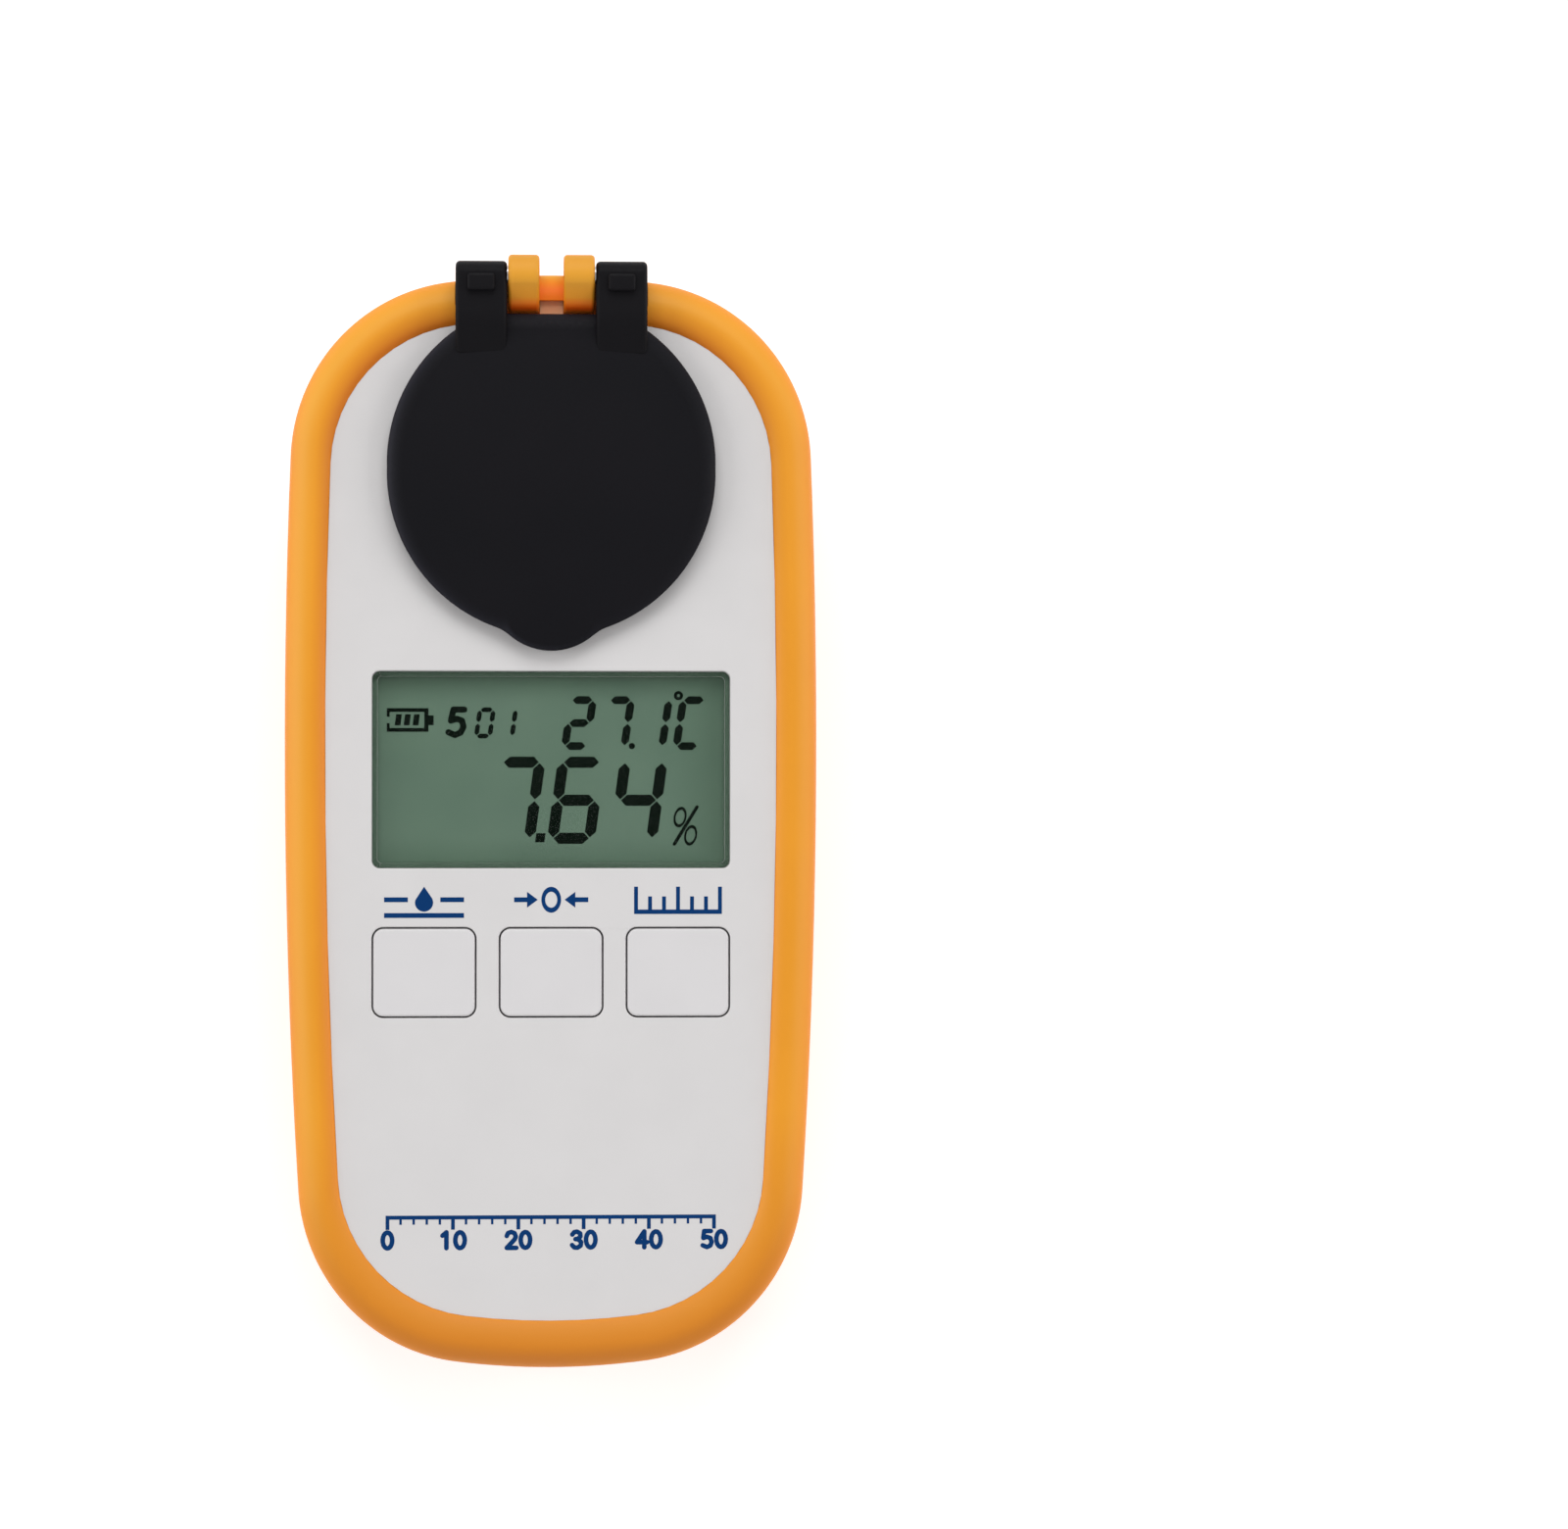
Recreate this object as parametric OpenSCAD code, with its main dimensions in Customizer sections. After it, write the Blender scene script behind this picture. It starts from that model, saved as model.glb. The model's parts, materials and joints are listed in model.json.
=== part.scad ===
// Handheld digital refractometer for brewing: rubber boot, two-part shell, hinged lid,
// three keys, display, sample dish with prism and optics, one AAA cell behind a hinged door.
// Millimetres. It lies on its back: +Z out of the front panel, +Y towards the lid hinge.

/* [Body] */
// Width of the boot at its widest
body_w = 58.4; // [57:0.2:64]
// Length of the boot without the hinge lugs
body_l = 119.4; // [117:0.2:128]
// Depth from the flat back to the front panel
body_t = 25.4; // [25:0.2:30]
// How far the rim's crest stands above the front panel
rim_proud = 0.7; // [0.5:0.1:1.5]
// Width of the rim at the sides
rim_w = 4.8; // [4.2:0.1:6]
// Corner radius of the outline
corner_r = 20; // [17:0.5:22]
// Thickness of the boot's back wall
boot_back = 2.0; // [1.6:0.1:3]
// Foot diameter
foot_d = 4.4; // [3:0.2:6]
// Foot height
foot_h = 0.6; // [0.4:0.1:1.5]

/* [Shell] */
// Shell wall thickness
shell_wall = 1.8; // [1.4:0.1:2]
// Front panel thickness
panel_t = 2.0; // [1.6:0.1:2.4]
// Room between the shell and the boot
boot_fit = 0.05; // [0:0.05:0.2]

/* [Lid] */
// Radius of the round lid
lid_r = 17.7; // [17.2:0.1:19]
// Greatest thickness of the lid
lid_t = 2.7; // [2.4:0.1:4]
// Width of each lid arm
arm_w = 5.4; // [4:0.1:6]
// Hinge pin diameter
pin_d = 1.8; // [1.4:0.1:2.2]
// Running clearance between the pin and the lid arms, on the radius
pin_clear = 0.05; // [0.02:0.01:0.1]
// Gap between each lug and its arm
arm_gap = 0.25; // [0.15:0.05:0.4]

/* [Display and keys] */
// Display window width
window_w = 38.6; // [34:0.2:40]
// Display window height
window_h = 21.2; // [18:0.2:22]
// Key width
key_w = 10.95; // [9:0.05:12]
// Key height
key_h = 9.45; // [8:0.05:11]
// Distance between key centres
key_pitch = 13.7; // [13:0.1:15]
// Gap around each key
key_gap = 0.18; // [0.1:0.01:0.3]
// Key travel
key_travel = 0.5; // [0.3:0.1:0.6]
// Clearance of a switch plunger in its housing, on the radius
plunger_clear = 0.1; // [0.04:0.01:0.15]

/* [Sample dish] */
// Outer radius of the stainless dish
dish_r = 15.5; // [14:0.1:16.5]
// Radius of the hole over the prism
eye_r = 6.0; // [5.8:0.1:7]
// Depth of the dish
dish_depth = 2.7; // [2:0.1:3]
// Cross-section diameter of the dish seal
seal_d = 1.2; // [1:0.1:1.4]

/* [Battery] */
// Cell diameter
cell_d = 10.5; // [10:0.1:10.5]
// Cell length with its button
cell_l = 44.5; // [43.5:0.1:44.5]
// Battery door thickness
door_t = 1.6; // [1.2:0.1:1.8]
// Gap between the door and the boot around it
door_gap = 0.25; // [0.15:0.05:0.4]
// Running clearance of the door pins in their ears, on the radius
trunnion_clear = 0.06; // [0.03:0.01:0.1]

/* [Hidden] */
lug_over = 1.2;
body_bottom = -(body_l + lug_over)/2;
body_top = body_bottom + body_l;
back_z = foot_h;
panel_z = back_z + body_t;
crest_z = panel_z + rim_proud;
side_r = 800;
crown_r = 80;
widest_y = 8.4;
opening_top = body_top - rim_w - 0.6;
opening_low = body_bottom + rim_w + 0.9;
opening_r = 20.5;
split_z = 14;
bulge_r = 90;
bulge_z = 14.5;
front_round = 2.6;
back_round = 5.5;
ease_h = 13;
ease_l = 11.5;
lip_t = 2.4;
boot_side = 2.8;
shell_in = boot_side + boot_fit;
shell_z = back_z + boot_back + boot_fit;
floor_z = shell_z + shell_wall;
ceiling_z = panel_z - panel_t;
lip_z = crest_z - lip_t;
cut = 0.5;

hinge = [0, body_top - 0.9, crest_z + 1.75];
dish_y = body_top - 21.7;
lug_in = 1.3;
arm_in = 4.9;
arm_out = arm_in + arm_w;
knuckle_r = 2.1;
head_r = 1.85;
pin_cover = 0.8;
heel_r = 3.25;
notch_y = body_top - 3.3;
recess_r = 3.65;
lid_z = crest_z + 0.2;
lid_top = lid_z + lid_t;
dome_r = 140;
lid_flat = hinge[1] - 4.2;

board_t = 1.2;
board_z = ceiling_z - 7;
board_top = board_z + board_t;
board_half = [23.2, 24.4];
board_y = -2.4;
board_screw = [[20.6, 20.3], [-20.6, 20.3], [20.6, -24.4], [-20.6, -24.4]];
window_y = 4.9;
window_t = 0.9;
window_top = panel_z - 0.15;
tape_t = 0.15;
ledge = 0.5;
glass = [window_w + 2.4, window_h + 3.2, 2.4];
glass_z = ceiling_z - 0.2 - glass[2];
key_y = -17;
key_x = [-key_pitch, 0, key_pitch];
flange_z = ceiling_z - 0.1;
key_low = flange_z - 1.3;
switch_h = 3.5;
screw_in = 7.8;
top_corner = arcs(body_top)[1][0];
low_corner = arcs(body_top)[7][0];
top_screw = top_corner + (corner_r - screw_in)*dir(43);
low_screw = low_corner + (corner_r - screw_in)*dir(-45);
case_screw = [top_screw, flip(top_screw), low_screw, flip(low_screw)];
head_z = 6;
screw_top = ceiling_z - 4;

seat_z = panel_z - 0.8;
neck_r = dish_r - 3.1;
eye_z = crest_z - dish_depth;
neck_z = eye_z - 1.4;
prism_z = eye_z - 0.2;
prism = [9.2, 6.6, 4.4];
block_top = neck_z - 0.1;
path_z = prism_z - prism[2] + 0.6;
block_low = 7;
block_cut = 6;
block_half = [9.5, path_z - block_low];
path_r = 1.6;
lens_r = 2.45;
led_r = 1.5;
bead_x = 8;
optics_screw_r = neck_r + seal_d + 1.8;
ray_l = (path_z - block_low - block_cut/2) * sqrt(2);

cell_z = 9.7;
cell_end = body_bottom + 10.8;
cell_top = cell_end + cell_l;
ear_in = cell_d/2 + 2.35;
ear_out = ear_in + 1.5;
door_x = ear_out + 0.1;
door_low = body_bottom + 8.5;
trunnion = [0, cell_top + 3, back_z + 1.0];
trunnion_r = 0.75;
barrel_r = 1.0;

orange = [0.97, 0.58, 0.12];
light = [0.83, 0.83, 0.83];
white = [0.93, 0.93, 0.92];
black = [0.1, 0.1, 0.11];
steel = [0.75, 0.76, 0.78];
green = [0.08, 0.4, 0.2];

// ---- outline ----
function dir(a) = [cos(a), sin(a)];
function angle_of(v) = atan2(v[1], v[0]);
function flip(p) = [-p[0], p[1]];
// Centre of a circle of radius r that touches two larger circles from inside
function touching(c1, r1, c2, r2, r, side) =
    let (d = norm(c2 - c1), a = r1 - r, b = r2 - r,
         t = (a*a - b*b + d*d)/(2*d), h = sqrt(a*a - t*t), e = (c2 - c1)/d)
    c1 + t*e + side*h*[-e[1], e[0]];
// The closed outline as [centre, radius, start angle, turn] arcs, anticlockwise
function arcs(top, low = body_bottom, r = corner_r) =
    let (s = [body_w/2 - side_r, widest_y], kt = [0, top - crown_r],
         kb = [0, low + crown_r],
         ct = touching(s, side_r, kt, crown_r, r, 1),
         cb = touching(s, side_r, kb, crown_r, r, -1),
         ft = angle_of(ct - s), fb = angle_of(cb - s),
         gt = angle_of(ct - kt), gb = angle_of(cb - kb))
    [[s, side_r, fb, ft - fb], [ct, r, ft, gt - ft], [kt, crown_r, gt, 180 - 2*gt],
     [flip(ct), r, 180 - gt, gt - ft], [flip(s), side_r, 180 - ft, ft - fb],
     [flip(cb), r, 180 - fb, fb - gb], [kb, crown_r, 180 - gb, 180 + 2*gb],
     [cb, r, gb, fb - gb]];
function trace(list, inset, steps) =
    [for (a = list)
        let (n = a[1] > crown_r - 1 ? steps/2 : steps)
            for (k = [0:n - 1]) a[0] + (a[1] - inset)*dir(a[2] + a[3]*k/n)];
function outline(inset, drop = 0, steps = 12) = trace(arcs(body_top - drop), inset, steps);
// The opening in the rim, which is set further in at the two ends; `inset` makes it smaller
function opening(inset = 0, steps = 12) =
    trace(arcs(opening_top + rim_w, opening_low - rim_w, opening_r), rim_w + inset, steps);

// A slice of the rounded back at height z, for a surface lying `deep` inside the boot's
function ease(z, deep) =
    let (u = min(1, max(0, (back_z + ease_h - z)/(ease_h - deep))))
    ease_l*(1 - sqrt(1 - u*u));
function round_back(z, deep) =
    let (r = back_round - deep, u = max(0, back_z + back_round - z))
    r - sqrt(max(0, r*r - min(u, r)*min(u, r)));
function round_front(z) =
    let (u = max(0, z - crest_z + front_round))
    front_round - sqrt(front_round*front_round - u*u);
function bulge(z) = pow(z - bulge_z, 2)/(2*bulge_r);
// A closed skin through outlines given as [z, points] from the back to the front
module loft(levels) {
    n = len(levels[0][1]);
    m = len(levels);
    points = [for (l = levels) for (p = l[1]) [p[0], p[1], l[0]]];
    walls = [for (i = [0:m - 2]) for (k = [0:n - 1]) for (t = [0, 1])
        let (a = i*n + k, b = i*n + (k + 1)%n) t ? [a, b + n, b] : [a, a + n, b + n]];
    polyhedron(points = points, convexity = 4,
        faces = concat([[for (k = [0:n - 1]) k]], walls,
                       [[for (k = [0:n - 1]) m*n - 1 - k]]));
}
// The same for outlines given as [z, inset, drop]
module stack(levels, steps) {
    loft([for (l = levels) [l[0], outline(l[1], l[2], steps)]]);
}
// Rounded back part of a surface `deep` above the boot's back and `inset` from its side
module back_part(deep, inset, top, steps) {
    r = back_round - deep;
    low = back_z + deep;
    stack(concat(
        [for (a = [0, 22, 45, 67]) let (z = low + r*(1 - cos(a)))
            [z, inset + round_back(z, deep), ease(z, deep)]],
        [for (z = [low + r, back_z + 8, back_z + 10.6, back_z + ease_h])
            [z, inset, ease(z, deep)]],
        [[top, inset, 0]]), steps);
}
module ring_prism(outer, inner, z, h) {
    translate([0, 0, z]) linear_extrude(h) difference() {
        polygon(outline(outer));
        polygon(outline(inner));
    }
}
module prism_of(inset, z, h) {
    translate([0, 0, z]) linear_extrude(h) polygon(outline(inset));
}
module opening_prism(inset, z, h) {
    translate([0, 0, z]) linear_extrude(h) polygon(opening(inset));
}
module rounded(w, h, r) {
    square([w - 2*r, h], center = true);
    square([w, h - 2*r], center = true);
    for (x = [-1, 1], y = [-1, 1])
        translate([x*(w/2 - r), y*(h/2 - r)]) circle(r, $fn = 48);
}
module plate(w, h, r, z, t) {
    translate([0, 0, z]) linear_extrude(t) rounded(w, h, r);
}
// A YZ profile drawn across X from x1 to x2
module across(x1, x2) {
    translate([x1, 0, 0]) rotate([90, 0, 90]) linear_extrude(x2 - x1) children();
}
module cross_rod(p, r, x1, x2) {
    translate([x1, p[1], p[2]]) rotate([0, 90, 0]) cylinder(r = r, h = x2 - x1, $fn = 64);
}
module both() {
    children();
    mirror([1, 0, 0]) children();
}
// A bent wire as twelve-sided rods that run a little past each bend
module wire(points, r) {
    for (k = [0:len(points) - 2]) {
        d = points[k + 1] - points[k];
        over = 0.25*r;
        translate(points[k] - d/norm(d)*over)
            rotate([0, acos(d[2]/norm(d)), angle_of([d[0], d[1]])])
                cylinder(r = r, h = norm(d) + 2*over, $fn = 12);
    }
}

// ---- boot ----
module boot_outside() {
    stack(concat(
        [for (a = [0, 18, 36, 54, 72]) let (z = back_z + back_round*(1 - cos(a)))
            [z, bulge(z) + round_back(z, 0), ease(z, 0)]],
        [for (z = [back_z + back_round, back_z + 7.5, back_z + 9.5, back_z + 11.4,
                   back_z + ease_h, bulge_z + 5])
            [z, bulge(z), ease(z, 0)]],
        [for (a = [0, 22, 44, 66, 90]) let (z = crest_z - front_round*(1 - sin(a)))
            [z, bulge(z) + round_front(z), 0]]), 14);
}
module lug_profile() {
    translate([hinge[1], hinge[2]]) circle(knuckle_r, $fn = 96);
    polygon([[lid_flat + 0.1, lip_z + 0.2], [lid_flat + 0.1, panel_z + 0.4],
             [hinge[1] - 1.6, hinge[2] + 1.3], hinge_yz() + [0, 1.9],
             hinge_yz() + [knuckle_r - 0.001, 0], hinge_yz() + [knuckle_r - 0.001, -0.85],
             [body_top - 0.15, hinge[2] - 7.2], [hinge[1] - 0.6, hinge[2] - 8],
             [hinge[1] - 0.8, lip_z + 0.2]]);
}
function hinge_yz() = [hinge[1], hinge[2]];
module boot() {
    color(orange) difference() {
        union() {
            difference() {
                boot_outside();
                back_part(boot_back, boot_side, split_z + 0.1, 12);
                prism_of(boot_side, split_z, lip_z - split_z);
                opening_prism(0, lip_z - cut, lip_t + 2*cut);
                loft([[panel_z, opening(0.4)], [crest_z + 0.1, outline(front_round + 0.9)]]);
                translate([-door_x - door_gap, door_low - door_gap, back_z - cut])
                    cube([2*(door_x + door_gap), trunnion[1] + barrel_r + 2*door_gap - door_low,
                          boot_back + 2*cut]);
                both() cross_rod(hinge, recess_r, arm_in - arm_gap/2, arm_out + arm_gap/2);
                translate([-lug_in, opening_top - cut, lip_z - cut])
                    cube([2*lug_in, notch_y + boot_fit - opening_top + cut, lip_t + 2*cut]);
            }
            both() across(lug_in, arm_in - arm_gap) lug_profile();
            for (x = [-1, 1]*(body_w/2 - 9.2), y = [body_top - 22.6, body_bottom + 21])
                translate([x, y, 0]) cylinder(d = foot_d, h = back_z + boot_back - 0.4, $fn = 64);
        }
        both() cross_rod(hinge, pin_d/2, lug_in + pin_cover, arm_in);
    }
}

// ---- shell ----
module screw_posts(z, h, r) {
    for (p = case_screw) translate([p[0], p[1], z]) cylinder(r = r, h = h, $fn = 48);
}
module front_shell() {
    color(light) difference() {
        union() {
            difference() {
                union() {
                    prism_of(shell_in, split_z, lip_z - split_z);
                    opening_prism(boot_fit, lip_z - cut, panel_z - lip_z + cut);
                    translate([boot_fit - lug_in, opening_top - 1, lip_z - cut])
                        cube([2*(lug_in - boot_fit), notch_y - opening_top + 1,
                              panel_z - lip_z + cut]);
                }
                prism_of(shell_in + shell_wall, split_z - cut, ceiling_z - split_z + cut);
            }
            screw_posts(split_z, ceiling_z - split_z + 0.1, 2.6);
            for (p = board_screw) translate([p[0], p[1], board_top])
                cylinder(r = 1.7, h = ceiling_z - board_top + 0.1, $fn = 48);
            for (p = optics_screw_at()) translate([p[0], p[1], block_top])
                cylinder(r = 1.7, h = ceiling_z - block_top + 0.1, $fn = 48);
        }
        for (p = case_screw) translate([p[0], p[1], split_z - cut])
            cylinder(r = 1.3, h = screw_top + cut + 1 - split_z, $fn = 32);
        for (p = board_screw) translate([p[0], p[1], board_top - cut])
            cylinder(r = 0.8, h = 4 + cut, $fn = 32);
        for (p = optics_screw_at()) translate([p[0], p[1], block_top - cut])
            cylinder(r = 0.8, h = 1.6 + cut, $fn = 32);
        translate([0, window_y, 0]) {
            plate(window_w + 0.1, window_h + 0.1, 0.85, window_top - window_t - tape_t, 2);
            plate(window_w - 2*ledge, window_h - 2*ledge, 0.5, ceiling_z - cut, 3);
        }
        for (x = key_x) translate([x, key_y, 0])
            plate(key_w + 2*key_gap, key_h + 2*key_gap, 1.1 + key_gap, ceiling_z - cut, 4);
        translate([0, dish_y, 0]) {
            translate([0, 0, seat_z]) cylinder(r = dish_r + 0.05, h = 3, $fn = 96);
            translate([0, 0, ceiling_z - cut]) cylinder(r = neck_r + seal_d, h = 4, $fn = 96);
        }
    }
}
module back_shell() {
    bay = cell_d/2 + 0.45;
    bay_low = cell_end - 5.6;
    bay_top = cell_top + 1.0;
    color(light) difference() {
        union() {
            difference() {
                back_part(boot_back + boot_fit, shell_in, split_z, 12);
                back_part(boot_back + boot_fit + shell_wall, shell_in + shell_wall,
                          split_z + cut, 10);
            }
            intersection() {
                back_part(boot_back + boot_fit, shell_in, split_z, 12);
                screw_posts(0, split_z, 2.9);
            }
            translate([-bay - 1.2, bay_low - 1.2, floor_z - 0.3])
                cube([2*bay + 2.4, bay_top - bay_low + 2.4, cell_z + 2.6 - floor_z]);
            both() translate([ear_in, trunnion[1] - 1.4, trunnion[2] - 1.0])
                cube([ear_out - ear_in, 2.6, shell_z - trunnion[2] + 1.3]);
        }
        translate([-bay, bay_low, floor_z]) cube([2*bay, bay_top - bay_low, 20]);
        translate([-bay - 0.6, door_low + 0.6, 0])
            cube([2*bay + 1.2, cell_top + 0.4 - door_low, floor_z]);
        cross_rod(trunnion, trunnion_r + trunnion_clear, -ear_out - 1, ear_out + 1);
        for (p = case_screw) translate([p[0], p[1], -cut]) {
            cylinder(r = 2.5, h = head_z + 2 + cut, $fn = 48);
            cylinder(r = 1.45, h = 20, $fn = 32);
        }
        ring_prism(shell_in + 0.5, shell_in + shell_wall - 0.5, split_z - 0.8, 2);
    }
}
module case_seal() {
    color(black) ring_prism(shell_in + 0.5, shell_in + shell_wall - 0.5, split_z - 0.8, 0.8);
}
module case_screws() {
    color(steel) for (p = case_screw) translate([p[0], p[1], head_z]) difference() {
        union() {
            cylinder(r = 2.3, h = 2, $fn = 48);
            cylinder(r = 1.3, h = screw_top - head_z, $fn = 32);
        }
        translate([0, 0, -cut]) cylinder(r = 1.0, h = 1 + cut, $fn = 6);
    }
}

// ---- battery ----
module battery_door() {
    color(light) difference() {
        union() {
            translate([-door_x, door_low, back_z + 0.1])
                cube([2*door_x, trunnion[1] - door_low, door_t]);
            cross_rod(trunnion, barrel_r, -ear_in + 0.15, ear_in - 0.15);
            cross_rod(trunnion, trunnion_r, -ear_out + 0.2, ear_out - 0.2);
            translate([-4, door_low + 1.0, back_z + door_t - 0.2]) cube([8, 1.0, 3.4]);
        }
        both() translate([ear_in - 0.15, trunnion[1] - 1.7, 0])
            difference() {
                cube([3, 5, 4]);
                translate([-1, 1.7, trunnion[2]]) rotate([0, 90, 0])
                    cylinder(r = trunnion_r, h = ear_out - ear_in + 0.95, $fn = 64);
            }
        for (k = [0:4]) translate([-3, door_low + 3 + 1.2*k, 0]) cube([6, 0.6, back_z + 0.4]);
    }
}
module battery_pad() {
    color(black) translate([-3, cell_end + 14, back_z + 0.1 + door_t])
        cube([6, 14, cell_z - cell_d/2 - back_z - 0.15 - door_t]);
}
module battery() {
    color([0.15, 0.35, 0.6]) translate([0, cell_end, cell_z]) rotate([-90, 0, 0]) {
        cylinder(d = cell_d, h = cell_l - 1.2, $fn = 96);
        cylinder(r = 1.9, h = cell_l, $fn = 48);
    }
}
// Coil of the spring contact: a cone-shaped helix from radius r1 to r2 over h
module coil(r1, r2, h, turns, wire_r) {
    n = 20*turns;
    m = 6;
    ring = [for (i = [0:n]) let (u = i/n, a = 360*turns*u, r = r1 + (r2 - r1)*u)
        for (j = [0:m - 1]) let (q = r + wire_r*cos(360*j/m))
            [q*cos(a), q*sin(a), h*u + wire_r*sin(360*j/m)]];
    sides = [for (i = [0:n - 1]) for (j = [0:m - 1])
        [i*m + j, i*m + (j + 1)%m, (i + 1)*m + (j + 1)%m, (i + 1)*m + j]];
    polyhedron(points = ring, convexity = 6,
        faces = concat([[for (j = [0:m - 1]) m - 1 - j]], sides, [[for (j = [0:m - 1]) n*m + j]]));
}
module spring_contact() {
    back = cell_end - 5.5;
    color(steel) {
        translate([-4.4, back, cell_z - 4.4]) cube([8.8, 0.4, 8.8]);
        translate([-1.2, back, cell_z]) cube([2.4, 0.4, 6.0]);
        translate([0, back + 0.65, cell_z]) rotate([-90, 0, 0])
            coil(3.6, 1.6, 4.5, 4, 0.35);
    }
}
module plate_contact() {
    color(steel) {
        translate([-4.4, cell_top + 0.02, cell_z - 4.4]) cube([8.8, 0.4, 8.8]);
        translate([-1.2, cell_top + 0.02, cell_z]) cube([2.4, 0.4, 6.0]);
    }
}
module lead_red() {
    color([0.7, 0.1, 0.1]) wire([[0, cell_top + 0.7, cell_z + 5.4],
        [0, cell_top + 3, cell_z + 5.6], [5, cell_top + 6, cell_z + 5.6],
        [5, cell_top + 6, board_z - 0.13]], 0.5);
}
module lead_black() {
    y0 = cell_end - 4.6;
    y1 = board_y - board_half[1] + 4;
    z = cell_z + 5.6;
    color(black) wire([[0, y0, z], [9, y0, z], [9, y1, z], [9, y1, board_z - 0.13]], 0.5);
}

// ---- display and keys ----
module lcd_window() {
    color([0.5, 0.6, 0.52]) translate([0, window_y, 0])
        plate(window_w, window_h, 0.8, window_top - window_t, window_t);
}
module window_tape() {
    color(black) translate([0, window_y, 0]) difference() {
        plate(window_w, window_h, 0.8, window_top - window_t - tape_t, tape_t);
        plate(window_w - 2*ledge, window_h - 2*ledge, 0.5, window_top - window_t - tape_t - cut, 2);
    }
}
module lcd_frame() {
    color(white) translate([0, window_y, 0]) difference() {
        plate(glass[0] + 3, glass[1] + 2.4, 1, board_top, ceiling_z - 0.2 - board_top);
        translate([-glass[0]/2 - 0.05, -glass[1]/2 - 0.05, glass_z])
            cube([glass[0] + 0.1, glass[1] + 0.1, 5]);
        plate(glass[0] - 8, glass[1] - 8, 0.5, board_top - cut, 8);
        for (y = [-1, 1]) translate([0, y*(glass[1]/2 - 2), board_top - cut + 3])
            cube([glass[0] - 4, 1.8, 8], center = true);
    }
}
module lcd_panel() {
    color([0.36, 0.47, 0.4]) translate([-glass[0]/2, window_y - glass[1]/2, glass_z]) cube(glass);
}
module zebra_strips() {
    color(black) for (y = [-1, 1])
        translate([2.5 - glass[0]/2, window_y + y*(glass[1]/2 - 2) - 0.8, board_top])
            cube([glass[0] - 5, 1.6, glass_z - board_top]);
}
module key(x) {
    color(white) translate([x, key_y, 0]) difference() {
        union() {
            plate(key_w, key_h, 1.1, key_low, panel_z - key_low);
            plate(key_w + 1.4, key_h + 1.4, 1.5, key_low, flange_z - key_low);
        }
        difference() {
            plate(key_w - 2.4, key_h - 2.4, 0.6, key_low - cut, 2 + cut);
            cylinder(r = 2.2, h = 40, $fn = 48);
        }
    }
}
module key_left() { key(key_x[0]); }
module key_middle() { key(key_x[1]); }
module key_right() { key(key_x[2]); }
module plunger(x) {
    z = board_top + 0.8 + key_travel + 0.1;
    color(black) translate([x, key_y, z])
        cylinder(r = 1.8 - plunger_clear, h = key_low - z, $fn = 48);
}
module plunger_left() { plunger(key_x[0]); }
module plunger_middle() { plunger(key_x[1]); }
module plunger_right() { plunger(key_x[2]); }
module switch_housings() {
    color(black) for (x = key_x) translate([x, key_y, board_top]) difference() {
        translate([-3, -3, 0]) cube([6, 6, switch_h]);
        translate([0, 0, 0.8]) cylinder(r = 1.8, h = 5, $fn = 48);
    }
}

// ---- board ----
module main_board() {
    color(green) difference() {
        translate([-board_half[0], board_y - board_half[1], board_z])
            cube([2*board_half[0], 2*board_half[1], board_t]);
        for (p = board_screw) translate([p[0], p[1], 0]) cylinder(r = 1.0, h = 40, $fn = 32);
    }
}
module board_screws() {
    color(steel) for (p = board_screw) translate([p[0], p[1], board_z - 1]) {
        cylinder(r = 1.7, h = 1, $fn = 32);
        cylinder(r = 0.8, h = 4.6, $fn = 32);
    }
}
module microcontroller() {
    color(black) translate([12.5, -4, board_z - 1.2]) {
        cube([8, 8, 1.2]);
        for (k = [0:6], s = [0, 1]) {
            translate([1 + k, s ? 8 : -0.7, 0.7]) cube([0.4, 0.7, 0.5]);
            translate([s ? 8 : -0.7, 1 + k, 0.7]) cube([0.7, 0.4, 0.5]);
        }
    }
}
module board_parts() {
    color([0.55, 0.45, 0.3]) for (p = [[-18, 8, 3.2, 1.6, 1.2], [-18, 4, 3.2, 1.6, 1.2],
        [-18, 0, 2, 1.2, 0.8], [-14, 12, 2, 1.2, 0.8], [13, 10, 2, 1.2, 0.8],
        [17, 10, 2, 1.2, 0.8], [-12, 4, 5, 5, 1.1], [13, -10, 3.2, 2.5, 0.9]])
        translate([p[0], p[1], board_z - p[4]]) cube([p[2], p[3], p[4]]);
}
module cable_socket() {
    color(white) translate([-6, board_y + board_half[1] - 5, board_z - 1.8]) difference() {
        cube([12, 4, 1.8]);
        translate([1, 1.5, 0.6]) cube([10, 4, 0.6]);
    }
}

// ---- sample dish and optics ----
module sample_dish() {
    rim = dish_r - 0.9;
    color(steel) translate([0, dish_y, 0]) difference() {
        union() {
            translate([0, 0, seat_z]) cylinder(r = dish_r, h = crest_z - 0.3 - seat_z, $fn = 96);
            translate([0, 0, crest_z - 0.3])
                cylinder(r1 = dish_r, r2 = dish_r - 0.3, h = 0.3, $fn = 96);
            translate([0, 0, neck_z]) cylinder(r = neck_r, h = seat_z - neck_z + 0.1, $fn = 96);
        }
        translate([0, 0, neck_z - cut]) cylinder(r = eye_r, h = 10, $fn = 96);
        translate([0, 0, eye_z])
            cylinder(r1 = eye_r, r2 = rim, h = dish_depth, $fn = 96);
        translate([0, 0, crest_z - 0.001]) cylinder(r = rim, h = 1, $fn = 96);
        translate([0, 0, neck_z - cut]) cylinder(r = eye_r + 1.2, h = cut + 0.3, $fn = 96);
    }
}
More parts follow.
